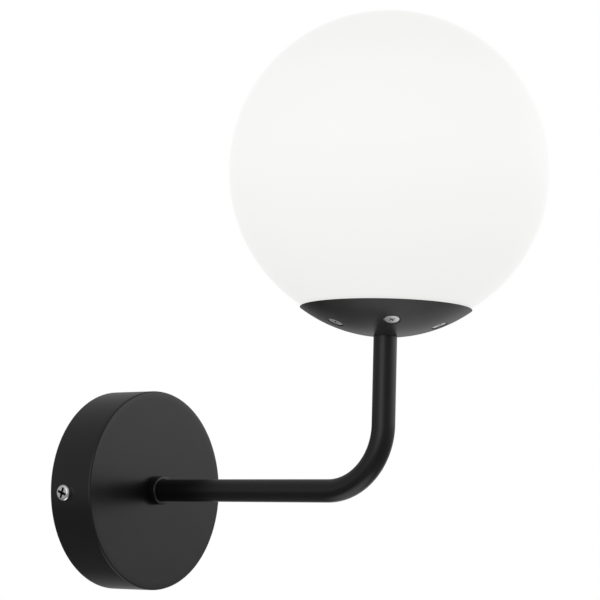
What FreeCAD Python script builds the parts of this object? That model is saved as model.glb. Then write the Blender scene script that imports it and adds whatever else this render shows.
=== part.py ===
import FreeCAD, Part
import math
import os

# Globe wall sconce: a round canopy on the wall, a bent tube arm, a shallow dish and an opal glass globe.
# Millimetres. +Z is up, the wall is the plane Y = 0 and the light stands out of it towards -Y.
# The origin is the centre of the canopy's back, on the wall.

V = FreeCAD.Vector

# ---------------------------------------------------------------- driving dimensions
# Arm
reach = 164.0                 # wall to the upright axis of the globe
arm_rise = 72.5               # arm axis up to the seat under the dish
tube_diameter = 11.1
tube_wall = 1.5
thread_step = 0.55            # tube turned down each side, to M10 x 1, at both ends
bend_radius = 31.0            # on the centreline
thread_past_canopy_nut = 2.4
thread_in_lampholder = 5.0

# Canopy and its collar
canopy_diameter = 100.0
canopy_depth = 26.0
canopy_wall = 1.0
canopy_edge_radius = 1.5
side_screw_height = 9.8       # off the wall
side_screw_turn = 3.7         # degrees below level, on both sides
collar_wall = 1.55            # round the tube
collar_height = 4.5
collar_floor = 1.5
collar_rounding = 1.4

# Wall bracket
strap_thickness = 1.5
strap_width = 18.0
strap_bend_radius = 2.0       # inside of the ears' bends
ear_height = 15.5
bracket_corner_radius = 4.0
tab_side_margin = 1.0         # tab past the terminal block
tab_top_margin = 3.0
slot_spacing = 60.0
slot_width = 4.6
slot_length = 12.0
cable_hole_diameter = 12.0
earth_stud_place = (14.5, 0.0)  # across and up, on the strap
earth_stud_length = 8.0
earth_stud_head = 5.4         # diameter of its head, let into the strap's back

# Globe and dish
globe_diameter = 152.0
globe_wall = 2.5
dish_diameter = 81.5
dish_depth = 13.0             # flat seat to rim
dish_wall = 0.8
dish_seat_diameter = 13.0
rim_gap = 1.35                # rim's outer edge below the globe's surface
glass_edge_inset = 7.25       # edge of the glass inside the rim
gasket_inset = 0.8            # gasket outside the edge of the glass
gasket_width = 3.2
gasket_least = 0.45           # thickness that the gasket keeps at its inner edge

# Inner cup that carries the globe
carrier_wall = 2.0
carrier_seat_margin = 1.0     # flat seat past the washer
spigot_inset = 2.0            # spigot inside the edge of the glass
spigot_wall = 1.2
spigot_above_glass = 1.5
dish_screw_count = 5
dish_screw_inset = 4.5        # screws inside the spigot
dish_screw_angle = -49.0      # first screw, from straight out of the wall towards -X
dish_hole_gap = 0.45          # dish's round holes past the screw heads
clip_thickness = 0.5
clip_width = 8.0
clip_foot = 3.5               # foot's reach inside the screw's axis
clip_foot_gap = 0.45          # flat foot above the curved cup
clip_bulge = 0.85
clip_toe = 0.6                # toe below the edge of the glass

# Fasteners
nut_across_flats = 14.0
nut_height = 3.5
washer_diameter = 17.0
washer_thickness = 0.8
washer_slit = 1.6
screw_diameter = 4.0          # M4: side and dish screws and earth stud
pan_head_diameter = 8.0
pan_head_height = 2.4
pan_head_round_share = 0.67   # of a head's height, for its rounded edge
flush_head_diameter = 7.0
flush_head_sink = 0.45        # head below the dish's outer surface
side_screw_length = 9.0
dish_screw_length = 8.0
small_nut_across_flats = 7.0
small_nut_height = 2.2
small_washer_diameter = 8.0

# Terminal block
pole_pitch = 10.0
pole_count = 3
rib_gap = 2.2                 # between the ribs over the poles
block_width = 16.0            # along the leads
block_base_height = 9.4
block_height = 13.0
block_bottom = 18.0           # lower edge above the arm axis
block_screw_diameter = 2.9
block_screw_seat = 4.3        # seat of the block's own screws above the tab
block_head_diameter = 4.6
block_head_height = 1.6
insert_size = 4.4
insert_bore = 3.0
insert_end = 1.0              # insert inside the block's ends
insert_axis = 7.3             # above the tab
terminal_screw_diameter = 2.9
terminal_screw_sink = 0.8     # below the ribs

# Leads and what holds them
lead_diameter = 2.2
lead_offset = 1.4             # each side of the tube's axis
lead_in_block = 6.0
lead_below_block = 4.0        # straight down before the leads turn to the tube
lead_step = 0.7               # further off the wall at the tube than in the block
lead_spread_radius = 16.0
lead_clear_of_bush = 0.5
post_bend_radius = 2.5
post_bend_room = 1.5          # from the tube's mouth and the post to the corners between them
earth_lead_gap = 0.5          # over the strap
earth_lead_rise = 9.0         # length in which the earth lead climbs to its pole
earth_lead_end = 2.0          # straight below the block
earth_lead_radii = (10.0, 7.0)
bush_flange = 1.0
bush_length = 5.0
bush_wall = 0.8
tag_thickness = 0.8
tag_diameter = 16.0
tag_neck = 3.0                # ring to barrel
tag_tongue_width = 5.0
tag_barrel_diameter = 3.8
tag_barrel_length = 6.0
tag_lead_entry = 1.0          # end of the lead inside the barrel

# Lampholder (E27)
cap_boss_diameter = 18.0
cap_boss_height = 2.5
cap_cone_height = 7.5
cap_lead_room = 8.5           # tube's mouth to the posts
thread_over_floor = 1.0
holder_wall = 2.0
insert_ledge = 1.5            # width of the ledge under the insert
insert_sink = 3.5             # ledge below the top of the cap
insert_height = 5.0
skirt_wall = 5.0              # round the shell
skirt_above_shell = 1.5
skirt_rounding = 1.5
skirt_flange_width = 1.5
skirt_flange_height = 3.0
shell_diameter = 28.0
shell_wall = 0.5
shell_height = 19.5
shell_floor_width = 4.2
contact_rise = 2.6
contact_thickness = 0.4
contact_width = 5.0
contact_reach = 7.0           # each side of the middle
contact_ramp = (-4.5, -1.0)   # where it starts to rise and where it is level again
post_size = 5.0
post_height = 4.0
post_offset = 8.0
post_screw_height = 1.8       # above the foot of the post

# Bulb
bulb_diameter = 45.0
bulb_throat_height = 9.3      # neck to ball
bulb_throat_angle = 48.0      # below level, where the throat meets the ball
bulb_throat_draw = 0.5
bulb_glass_wall = 0.8
bulb_neck_in_cap = 6.0
bulb_neck_above_cap = 1.5
bulb_cement = 0.3             # glass to cap
bulb_cap_wall = 0.4
bulb_cap_height = 24.0
bulb_cap_taper = 2.0
bulb_tip_diameter = 9.6
bulb_tip_height = 1.4
bulb_cone_height = 2.4
bulb_insulator_height = 4.0

# Clearances
seat_gap = 0.3                # between a part that comes off and what it rests on
nest_gap = 0.1                # between nested pressings
shaft_gap = 0.05              # shaft in its hole, each side
hole_gap = 0.2                # loose hole round a shaft, each side


# ---------------------------------------------------------------- places worked out from them
def bowl(curve, centre, radius):
    """Height of a sphere's lower half at a radius from the upright axis."""
    return centre - math.sqrt(curve**2 - radius**2)


def centre_over(curve, height, radius):
    """Height of a sphere's centre when its lower half passes a height at a radius."""
    return height + math.sqrt(curve**2 - radius**2)


canopy_radius = canopy_diameter / 2
tube_radius = tube_diameter / 2
bore_radius = tube_radius - tube_wall
thread_radius = tube_radius - thread_step
screw_radius = screw_diameter / 2
lead_radius = lead_diameter / 2

canopy_inside = canopy_depth - canopy_wall
canopy_nut_base = canopy_inside - tag_thickness - washer_thickness - nut_height
thread_start = canopy_nut_base - thread_past_canopy_nut
shoulder = canopy_depth + collar_floor

block_length = pole_count * pole_pitch
tab_width = block_length + 2 * tab_side_margin
tab_height = block_bottom + block_width + tab_top_margin
block_middle = block_bottom + block_width / 2
block_seat = strap_thickness + block_screw_seat
lead_axis_height = strap_thickness + insert_axis
tag_lead_height = canopy_inside - tag_barrel_diameter / 2 - nest_gap

dish_radius = dish_diameter / 2
dish_seat_radius = dish_seat_diameter / 2
dish_centre_rise = (dish_radius**2 + dish_depth**2 - dish_seat_radius**2) / (2 * dish_depth)
dish_curve = math.hypot(dish_centre_rise, dish_seat_radius)
dish_centre = arm_rise + dish_centre_rise
rim_height = arm_rise + dish_depth

carrier_under = dish_curve - dish_wall - nest_gap
carrier_over = carrier_under - carrier_wall
carrier_seat = arm_rise + dish_wall

globe_radius = globe_diameter / 2
opening_radius = dish_radius - glass_edge_inset
gasket_inner = opening_radius + gasket_inset
gasket_outer = gasket_inner + gasket_width
gasket_top = bowl(carrier_under, dish_centre, gasket_inner) + gasket_least
globe_centre = max(centre_over(globe_radius, rim_height + rim_gap, dish_radius),
                   centre_over(globe_radius + seat_gap, gasket_top, gasket_inner))

spigot_radius = opening_radius - spigot_inset
spigot_inner = spigot_radius - spigot_wall
glass_edge_top = bowl(globe_radius - globe_wall, globe_centre, opening_radius)
spigot_top = glass_edge_top + spigot_above_glass
dish_screw_radius = spigot_inner - dish_screw_inset
dish_screw_tilt = math.asin(dish_screw_radius / dish_curve)

dish_washer_base = carrier_seat + carrier_wall
dish_nut_base = dish_washer_base + washer_thickness
holder_base = dish_nut_base + nut_height
thread_end = holder_base + thread_in_lampholder

ledge_height = thread_end + cap_lead_room + post_height
cap_top = ledge_height + insert_sink
insert_top = ledge_height + insert_height
shell_radius = shell_diameter / 2
holder_radius = shell_radius + skirt_wall
holder_inner = holder_radius - holder_wall
skirt_top = insert_top + shell_height + skirt_above_shell
contact_top = insert_top + contact_rise

bulb_radius = bulb_diameter / 2
bulb_bottom = contact_top + seat_gap
bulb_cap_radius = shell_radius - shell_wall - seat_gap
bulb_cap_foot = bulb_cap_radius - bulb_cap_taper
bulb_cap_top = bulb_bottom + bulb_cap_height
bulb_neck_radius = bulb_cap_radius - bulb_cap_wall - bulb_cement
bulb_neck_top = bulb_cap_top + bulb_neck_above_cap
bulb_centre = bulb_neck_top + bulb_throat_height + bulb_radius * math.sin(math.radians(bulb_throat_angle))


# ---------------------------------------------------------------- shapes used again and again
def outline(start, *steps):
    """Closed face in the XZ plane. A step is a point, or a (middle, end) pair for an arc."""
    edges = []
    here = V(start[0], 0, start[1])
    for step in steps:
        curved = isinstance(step[0], tuple)
        end = V(step[1][0], 0, step[1][1]) if curved else V(step[0], 0, step[1])
        if curved:
            edges.append(Part.Arc(here, V(step[0][0], 0, step[0][1]), end).toShape())
        else:
            edges.append(Part.LineSegment(here, end).toShape())
        here = end
    edges.append(Part.LineSegment(here, V(start[0], 0, start[1])).toShape())
    return Part.Face(Part.Wire(edges))


def turned(start, *steps):
    """Solid of revolution about the Z axis; points are (radius, height)."""
    return outline(start, *steps).revolve(V(0, 0, 0), V(0, 0, 1), 360)


def rounded(x, z, radius):
    """Steps that go up to an outer corner at (x, z), round it and leave it inwards."""
    slant = radius * (1 - math.sqrt(0.5))
    return (x, z - radius), ((x - slant, z - slant), (x - radius, z))


def bowl_arc(curve, centre, start, end):
    """Step along a bowl's section from one radius to another."""
    middle = (start + end) / 2
    return (middle, bowl(curve, centre, middle)), (end, bowl(curve, centre, end))


def extruded(face, width):
    """Face of the XZ plane made into a plate that is centred on that plane."""
    moved = face.copy()
    moved.translate(V(0, -width / 2, 0))
    return moved.extrude(V(0, width, 0))


def rod(radius, start, end):
    """Round bar from one point to another."""
    run = end.sub(start)
    return Part.makeCylinder(radius, run.Length, start, run)


def ring(outer_radius, inner_radius, low, high):
    """Flat ring about the Z axis."""
    return turned((inner_radius, low), (outer_radius, low), (outer_radius, high), (inner_radius, high))


def block(centre, size):
    """Box by its centre and its three sizes."""
    corner = V(centre[0] - size[0] / 2, centre[1] - size[1] / 2, centre[2] - size[2] / 2)
    return Part.makeBox(size[0], size[1], size[2], corner)


def hex_nut(across_flats, bore, low, height):
    """Hexagon nut about the Z axis."""
    corner = across_flats / 2 / math.cos(math.radians(30))
    points = [V(corner * math.cos(math.radians(a)), corner * math.sin(math.radians(a)), low)
              for a in range(0, 361, 60)]
    prism = Part.Face(Part.makePolygon(points)).extrude(V(0, 0, height))
    return prism.cut(rod(bore, V(0, 0, low - height), V(0, 0, low + 2 * height)))


def spring_washer(outer_radius, inner_radius, low, thickness):
    """Split ring washer about the Z axis."""
    slit = block((outer_radius, 0, low + thickness / 2), (2 * outer_radius, washer_slit, 2 * thickness))
    return ring(outer_radius, inner_radius, low, low + thickness).cut(slit)


def pan_head_screw(diameter, length, head_diameter, head_height):
    """Screw along Z with its round-edged head above Z = 0 and its shank below."""
    return turned((0, -length), (diameter / 2, -length), (diameter / 2, 0), (head_diameter / 2, 0),
                  *rounded(head_diameter / 2, head_height, pan_head_round_share * head_height),
                  (0, head_height))


def flush_screw(diameter, length, head_diameter):
    """Countersunk screw along Z with the top of its head at Z = 0 and its shank below."""
    cone = (head_diameter - diameter) / 2
    return turned((0, -length), (diameter / 2, -length), (diameter / 2, -cone), (head_diameter / 2, 0),
                  (0, 0))


def lead(points, radii):
    """Round lead along straight runs joined by tangent arcs, one radius for each inner point."""
    edges = []
    here = points[0]
    for i, radius in enumerate(radii):
        corner = points[i + 1]
        back = points[i].sub(corner).normalize()
        ahead = points[i + 2].sub(corner).normalize()
        half_turn = (math.pi - back.getAngle(ahead)) / 2
        cut_back = radius * math.tan(half_turn)
        first = corner.add(V(back).multiply(cut_back))
        last = corner.add(V(ahead).multiply(cut_back))
        middle_way = V(back).add(ahead).normalize()
        middle = corner.add(middle_way.multiply(radius / math.cos(half_turn) - radius))
        edges.append(Part.LineSegment(here, first).toShape())
        edges.append(Part.Arc(first, middle, last).toShape())
        here = last
    edges.append(Part.LineSegment(here, points[-1]).toShape())
    return tube_along(edges, lead_radius)


def tube_along(edges, radius):
    """Solid of round section along joined edges."""
    path = Part.Wire(edges)
    start = path.Vertexes[0].Point
    way = path.Edges[0].tangentAt(path.Edges[0].FirstParameter)
    section = Part.Wire(Part.makeCircle(radius, start, way))
    return path.makePipeShell([section], True, False)


def out_of_wall(shape):
    """Take a shape drawn with +Z out of the wall and +Y up into the light's own frame."""
    placed = shape.copy()
    placed.rotate(V(0, 0, 0), V(1, 0, 0), 90)
    return placed


def under_globe(shape):
    """Take a shape drawn about the Z axis to the upright axis of the globe."""
    placed = shape.copy()
    placed.translate(V(0, -reach, 0))
    return placed


def round_dish(shape, index):
    """Turn a shape drawn in the XZ plane to the place of one dish screw."""
    placed = shape.copy()
    placed.rotate(V(0, 0, 0), V(0, 0, 1), -90 + dish_screw_angle + index * 360 / dish_screw_count)
    return placed


def to_side(shape, side):
    """Take a shape drawn along Z from the canopy's rim outwards to one side screw's place."""
    placed = shape.copy()
    placed.rotate(V(0, 0, 0), V(0, 1, 0), side * 90)
    placed.translate(V(side * canopy_radius, 0, side_screw_height))
    placed.rotate(V(0, 0, 0), V(0, 0, 1), -side * side_screw_turn)
    return placed


# ---------------------------------------------------------------- wall bracket and canopy
def ear_face():
    """Distance from the centre to the outside of an ear, just inside the canopy's wall."""
    return math.sqrt((canopy_radius - canopy_wall)**2 - (strap_width / 2)**2) - seat_gap


def wall_bracket():
    """Strap with bent ears, wall slots, a cable hole and a tab for the terminal block."""
    t = strap_thickness
    body = extruded(strap_section(), strap_width)
    body = body.fuse(block((0, tab_height / 2, t / 2), (tab_width, tab_height, t))).removeSplitter()
    body = body.makeFillet(bracket_corner_radius, [e for e in body.Edges if is_free_corner(e)])
    holes = [rod(cable_hole_diameter / 2, V(0, 0, -t), V(0, 0, 2 * t)), earth_stud_shape(shaft_gap)]
    for side in (-1, 1):
        holes.append(wall_slot(side * slot_spacing / 2))
        holes.append(to_side(rod(screw_radius + shaft_gap, V(0, 0, -side_screw_length), V(0, 0, 0)), side))
    for place in block_screw_places():
        holes.append(rod(block_screw_diameter / 2 + shaft_gap, V(*place, -t), V(*place, 2 * t)))
    for hole in holes:
        body = body.cut(hole)
    return out_of_wall(body)


def strap_section():
    """Section of the strap and its two ears."""
    x = ear_face()
    t = strap_thickness
    outer = strap_bend_radius + t
    dip = outer * (1 - math.sqrt(0.5))
    inner_dip = t + strap_bend_radius * (1 - math.sqrt(0.5))
    return outline((-x, ear_height), (-x, outer), ((-x + dip, dip), (-x + outer, 0)), (x - outer, 0),
                   ((x - dip, dip), (x, outer)), (x, ear_height), (x - t, ear_height), (x - t, outer),
                   ((x - inner_dip, inner_dip), (x - outer, t)), (-x + outer, t),
                   ((-x + inner_dip, inner_dip), (-x + t, outer)), (-x + t, ear_height))


def is_free_corner(edge):
    """True for the free corners of the ears and of the tab, which are rounded."""
    box = edge.BoundBox
    near = nest_gap
    ear_corner = box.ZMin > ear_height - near and box.XLength > strap_thickness / 2 and box.YLength < near
    tab_corner = box.YMin > tab_height - near and box.ZLength > strap_thickness / 2 and box.XLength < near
    return ear_corner or tab_corner


def wall_slot(x):
    """Slot for one wall screw, long way along the strap."""
    end = (slot_length - slot_width) / 2
    slot = block((x, 0, strap_thickness / 2), (2 * end, slot_width, 3 * strap_thickness))
    for side in (-1, 1):
        slot = slot.fuse(rod(slot_width / 2, V(x + side * end, 0, -strap_thickness),
                             V(x + side * end, 0, 2 * strap_thickness)))
    return slot


def canopy():
    """Pressed round cup, open at the wall, with the arm's hole and two side holes."""
    r = canopy_radius
    e = canopy_edge_radius
    w = canopy_wall
    inside_slant = e - (e - w) * math.sqrt(0.5)
    cup = turned((r, 0), *rounded(r, canopy_depth, e), (thread_radius + hole_gap, canopy_depth),
                 (thread_radius + hole_gap, canopy_inside), (r - e, canopy_inside),
                 ((r - inside_slant, canopy_depth - inside_slant), (r - w, canopy_depth - e)), (r - w, 0))
    for side in (-1, 1):
        cup = cup.cut(to_side(rod(screw_radius + hole_gap, V(0, 0, -side_screw_length),
                                  V(0, 0, side_screw_length)), side))
    return out_of_wall(cup)


def canopy_side_screws():
    """Two pan head screws through the canopy's sides into the bracket's ears."""
    screw = pan_head_screw(screw_diameter, side_screw_length, pan_head_diameter, pan_head_height)
    return Part.makeCompound([out_of_wall(to_side(screw, side)) for side in (-1, 1)])


def earth_stud_shape(gap):
    """Earth stud with its head let into the strap's back, larger by a gap all round."""
    shank = screw_radius + gap
    head = earth_stud_head / 2 + gap
    cone = head - shank
    stud = turned((0, 0), (head, 0), (shank, cone), (shank, earth_stud_length), (0, earth_stud_length))
    stud.translate(V(*earth_stud_place, 0))
    return stud


def bracket_earth_stud():
    """Earth stud, pressed into the strap from behind."""
    return out_of_wall(earth_stud_shape(0.0))


def bracket_earth_washer():
    """Plain washer on the earth stud."""
    washer = ring(small_washer_diameter / 2, screw_radius + shaft_gap, strap_thickness,
                  strap_thickness + washer_thickness)
    washer.translate(V(*earth_stud_place, 0))
    return out_of_wall(washer)


def bracket_earth_nut():
    """Nut that clamps the supply's earth wire on the stud."""
    nut = hex_nut(small_nut_across_flats, screw_radius + shaft_gap, strap_thickness + washer_thickness,
                  small_nut_height)
    nut.translate(V(*earth_stud_place, 0))
    return out_of_wall(nut)


def arm_collar():
    """Round collar on the canopy's face that the tube stands in."""
    socket = tube_radius + nest_gap
    top = canopy_depth + collar_height
    hole = thread_radius + hole_gap
    rounding = min(collar_rounding, collar_wall - nest_gap)
    collar = turned((hole, canopy_depth), (socket + collar_wall, canopy_depth),
                    *rounded(socket + collar_wall, top, rounding), (socket, top), (socket, shoulder),
                    (hole, shoulder))
    return out_of_wall(collar)


# ---------------------------------------------------------------- arm
def arm_path(start, end):
    """Edges from one distance off the wall, round the bend, to a height under the globe."""
    bend_in = V(0, -(reach - bend_radius), 0)
    slant = bend_radius * math.sqrt(0.5)
    bend_middle = V(0, -(reach - bend_radius) - slant, bend_radius - slant)
    bend_out = V(0, -reach, bend_radius)
    return [Part.LineSegment(V(0, -start, 0), bend_in).toShape(),
            Part.Arc(bend_in, bend_middle, bend_out).toShape(),
            Part.LineSegment(bend_out, V(0, -reach, end)).toShape()]


def arm_tube():
    """Bent tube, turned down for its threads at both ends."""
    body = tube_along(arm_path(shoulder, arm_rise), tube_radius)
    rear_spigot = rod(thread_radius, V(0, -thread_start, 0), V(0, -shoulder, 0))
    top_spigot = rod(thread_radius, V(0, -reach, arm_rise), V(0, -reach, thread_end))
    bore = tube_along(arm_path(thread_start - tube_wall, thread_end + tube_wall), bore_radius)
    return body.fuse(rear_spigot).fuse(top_spigot).cut(bore)


def wire_bushes():
    """Plastic bushes in both mouths of the tube."""
    inner = bore_radius - bush_wall
    bush = turned((inner, -bush_length), (bore_radius - shaft_gap, -bush_length),
                  (bore_radius - shaft_gap, 0), (thread_radius, 0), (thread_radius, bush_flange),
                  (inner, bush_flange))
    top = bush.copy()
    top.translate(V(0, 0, thread_end))
    rear = bush.copy()
    rear.rotate(V(0, 0, 0), V(1, 0, 0), 180)
    rear.translate(V(0, 0, thread_start))
    return Part.makeCompound([out_of_wall(rear), under_globe(top)])


def earth_tag():
    """Ring tag under the canopy nut, with a crimp barrel that points down."""
    low = canopy_inside - tag_thickness
    hole = thread_radius + hole_gap
    tag = ring(tag_diameter / 2, hole, low, canopy_inside)
    barrel_top = tag_diameter / 2 + tag_neck
    tongue_length = barrel_top + tag_lead_entry - hole - tag_thickness
    tongue = block((0, -(hole + tag_thickness + tongue_length / 2), low + tag_thickness / 2),
                   (tag_tongue_width, tongue_length, tag_thickness))
    top = V(0, -barrel_top, tag_lead_height)
    foot = V(0, -barrel_top - tag_barrel_length, tag_lead_height)
    bore = rod(lead_radius + shaft_gap, top, foot)
    return out_of_wall(tag.fuse(tongue).fuse(rod(tag_barrel_diameter / 2, top, foot)).cut(bore))


def canopy_lock_washer():
    """Split washer between the earth tag and the canopy nut."""
    low = canopy_nut_base + nut_height
    return out_of_wall(spring_washer(washer_diameter / 2, thread_radius + hole_gap, low, washer_thickness))


def canopy_nut():
    """Nut that clamps the arm to the canopy."""
    return out_of_wall(hex_nut(nut_across_flats, thread_radius + shaft_gap, canopy_nut_base, nut_height))


# ---------------------------------------------------------------- terminal block
def pole_places():
    """X of each pole of the terminal block."""
    return [(i - (pole_count - 1) / 2) * pole_pitch for i in range(pole_count)]


def block_screw_places():
    """Places of the two screws that hold the block, between its poles."""
    return [(-pole_pitch / 2, block_middle), (pole_pitch / 2, block_middle)]


def terminal_screw_places():
    """Places of the clamping screws, two for each pole."""
    return [(x, block_middle + side * block_width / 4) for x in pole_places() for side in (-1, 1)]


def terminal_block():
    """Moulded block: a base, a raised rib over each pole and sunk holes for its own two screws."""
    top = strap_thickness + block_height
    body = block((0, block_middle, strap_thickness + block_base_height / 2),
                 (block_length, block_width, block_base_height))
    channel = insert_size + 2 * shaft_gap
    for x in pole_places():
        body = body.fuse(block((x, block_middle, strap_thickness + block_height / 2),
                               (pole_pitch - rib_gap, block_width, block_height)))
    for x in pole_places():
        body = body.cut(block((x, block_middle, lead_axis_height), (channel, 2 * block_width, channel)))
    for place in terminal_screw_places():
        body = body.cut(rod(terminal_screw_diameter / 2 + hole_gap, V(*place, lead_axis_height),
                            V(*place, top + hole_gap)))
    for place in block_screw_places():
        body = body.cut(rod(block_screw_diameter / 2 + hole_gap, V(*place, 0), V(*place, top)))
        body = body.cut(rod(block_head_diameter / 2 + hole_gap, V(*place, block_seat), V(*place, top)))
    return out_of_wall(body)


def terminal_inserts():
    """Square brass tubes of the poles, bored for the leads and tapped for the clamping screws."""
    inserts = []
    for x in pole_places():
        tube = block((x, block_middle, lead_axis_height),
                     (insert_size, block_width - 2 * insert_end, insert_size))
        tube = tube.cut(rod(insert_bore / 2, V(x, block_bottom, lead_axis_height),
                            V(x, block_bottom + block_width, lead_axis_height)))
        for place in terminal_screw_places():
            if abs(place[0] - x) < pole_pitch / 2:
                tube = tube.cut(rod(terminal_screw_diameter / 2 + shaft_gap, V(*place, lead_axis_height),
                                    V(*place, lead_axis_height + insert_size)))
        inserts.append(out_of_wall(tube))
    return Part.makeCompound(inserts)


def terminal_screws():
    """Headless clamping screws that press on the leads."""
    low = lead_axis_height + lead_radius + shaft_gap
    high = strap_thickness + block_height - terminal_screw_sink
    return Part.makeCompound([out_of_wall(rod(terminal_screw_diameter / 2, V(*place, low), V(*place, high)))
                              for place in terminal_screw_places()])


def terminal_block_screws():
    """Two screws that hold the block to the bracket's tab."""
    screws = []
    for place in block_screw_places():
        screw = pan_head_screw(block_screw_diameter, block_seat, block_head_diameter, block_head_height)
        screw.translate(V(*place, block_seat))
        screws.append(out_of_wall(screw))
    return Part.makeCompound(screws)


# ---------------------------------------------------------------- leads
def in_light(x, up, out):
    """Point given by its place across, up and out of the wall."""
    return V(x, -out, up)


def through_lead(side):
    """Lead from a pole of the block through the whole arm to its post in the lampholder."""
    x = side * lead_offset
    pole = side * pole_pitch * (pole_count - 1) / 2
    post = side * post_offset
    turn_height = lead_axis_height + lead_step
    turn_radius = thread_start - bush_flange - lead_clear_of_bush - turn_height
    spread_start = thread_end + bush_flange + post_bend_room
    post_foot = ledge_height - post_height
    points = [in_light(pole, block_bottom + lead_in_block, lead_axis_height),
              in_light(pole, block_bottom - lead_below_block, lead_axis_height),
              in_light(x, 0, turn_height),
              V(x, -reach, 0),
              V(x, -reach, spread_start),
              V(post, -reach, post_foot - post_bend_room),
              V(post, -reach, post_foot + post_height / 2)]
    return lead(points, [lead_spread_radius, turn_radius, bend_radius, post_bend_radius, post_bend_radius])


def live_lead():
    """Lead of the left pole and post."""
    return through_lead(-1)


def neutral_lead():
    """Lead of the right pole and post."""
    return through_lead(1)


def earth_lead():
    """Lead from the tag under the nut, round the canopy's lower half, to the middle pole."""
    barrel_top = tag_diameter / 2 + tag_neck
    low_height = strap_thickness + lead_diameter + earth_lead_gap
    loop = (tag_lead_height - low_height) / 2
    turn = -(barrel_top + tag_barrel_length + lead_radius + loop)
    points = [in_light(0, -(barrel_top + tag_lead_entry), tag_lead_height),
              in_light(0, turn, tag_lead_height),
              in_light(0, turn, low_height),
              in_light(0, block_bottom - earth_lead_end - earth_lead_rise, low_height),
              in_light(0, block_bottom - earth_lead_end, lead_axis_height),
              in_light(0, block_bottom + lead_in_block, lead_axis_height)]
    return lead(points, [loop - shaft_gap, loop - shaft_gap, *earth_lead_radii])


# ---------------------------------------------------------------- dish and inner cup
def on_screw_axis(shape):
    """Take a shape drawn along Z, head side up, to the first screw's place in the XZ plane."""
    placed = shape.copy()
    placed.rotate(V(0, 0, 0), V(0, 1, 0), 180 - math.degrees(dish_screw_tilt))
    placed.translate(V(dish_screw_radius, 0, bowl(dish_curve, dish_centre, dish_screw_radius)))
    return placed


def round_all_screws(shape):
    """The same shape at every dish screw, on the globe's axis."""
    return [under_globe(round_dish(shape, i)) for i in range(dish_screw_count)]


def dish():
    """Spun steel dish with a flat seat on the tube and round holes over the screws."""
    inner = dish_curve - dish_wall
    inner_seat = math.sqrt(inner**2 - (dish_centre - arm_rise - dish_wall)**2)
    inner_rim = math.sqrt(inner**2 - (dish_centre - rim_height)**2)
    hole = thread_radius + hole_gap
    body = under_globe(turned((hole, arm_rise), (dish_seat_radius, arm_rise),
                              bowl_arc(dish_curve, dish_centre, dish_seat_radius, dish_radius),
                              (inner_rim, rim_height), bowl_arc(inner, dish_centre, inner_rim, inner_seat),
                              (hole, arm_rise + dish_wall)))
    window = rod(flush_head_diameter / 2 + dish_hole_gap, V(0, 0, -2 * dish_wall), V(0, 0, 2 * dish_wall))
    for hole_shape in round_all_screws(on_screw_axis(window)):
        body = body.cut(hole_shape)
    return body


def globe_carrier():
    """Inner cup: flat seat under the nut, bowl nested in the dish and an upright spigot for the glass."""
    hole = thread_radius + hole_gap
    seat = washer_diameter / 2 + carrier_seat_margin
    outer_seat = math.sqrt(carrier_under**2 - (dish_centre - carrier_seat)**2)
    body = under_globe(turned((hole, carrier_seat), (outer_seat, carrier_seat),
                              bowl_arc(carrier_under, dish_centre, outer_seat, spigot_radius),
                              (spigot_radius, spigot_top), (spigot_inner, spigot_top),
                              (spigot_inner, bowl(carrier_over, dish_centre, spigot_inner)),
                              bowl_arc(carrier_over, dish_centre, spigot_inner, seat),
                              (seat, dish_washer_base), (hole, dish_washer_base)))
    screw = flush_screw(screw_diameter + 2 * shaft_gap, dish_screw_length, flush_head_diameter + 2 * shaft_gap)
    screw.translate(V(0, 0, -flush_head_sink))
    for hole_shape in round_all_screws(on_screw_axis(screw)):
        body = body.cut(hole_shape)
    return body


def dish_screws():
    """Countersunk screws in the inner cup, their heads in the dish's round holes."""
    screw = flush_screw(screw_diameter, dish_screw_length, flush_head_diameter)
    screw.translate(V(0, 0, -flush_head_sink))
    return Part.makeCompound(round_all_screws(on_screw_axis(screw)))


def clip_foot_depth():
    """Depth of a clip's foot below the dish's outer surface, along the screw."""
    return dish_wall + nest_gap + carrier_wall + clip_foot_gap


def clip_strip():
    """Section of a clip: a foot under the nut, a leg up the spigot and a bulge towards the glass."""
    slope = math.tan(dish_screw_tilt)
    across = math.cos(dish_screw_tilt)
    under_x = dish_screw_radius - clip_foot_depth() * math.sin(dish_screw_tilt)
    under_z = bowl(dish_curve, dish_centre, dish_screw_radius) + clip_foot_depth() * across
    over_z = under_z + clip_thickness / across
    heel = under_x - clip_foot * across
    leg_outer = math.sqrt(spigot_inner**2 - (clip_width / 2)**2) - nest_gap
    leg_inner = leg_outer - clip_thickness
    outside = spigot_radius + shaft_gap
    bridge = spigot_top + shaft_gap
    toe = bowl(globe_radius, globe_centre, opening_radius) - clip_toe
    middle = (bridge + toe) / 2
    return outline((heel, under_z + (heel - under_x) * slope),
                   (leg_outer, under_z + (leg_outer - under_x) * slope), (leg_outer, bridge),
                   (outside, bridge), ((outside + clip_bulge, middle), (outside, toe)),
                   (outside + clip_thickness, toe),
                   ((outside + clip_thickness + clip_bulge, middle),
                    (outside + clip_thickness, bridge + clip_thickness)),
                   (leg_inner, bridge + clip_thickness), (leg_inner, over_z + (leg_inner - under_x) * slope),
                   (heel, over_z + (heel - under_x) * slope))


def globe_clips():
    """Spring clips that hold the edge of the glass."""
    clip = extruded(clip_strip(), clip_width)
    clip = clip.cut(on_screw_axis(rod(screw_radius + shaft_gap, V(0, 0, -dish_screw_length), V(0, 0, 0))))
    return Part.makeCompound(round_all_screws(clip))


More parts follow.
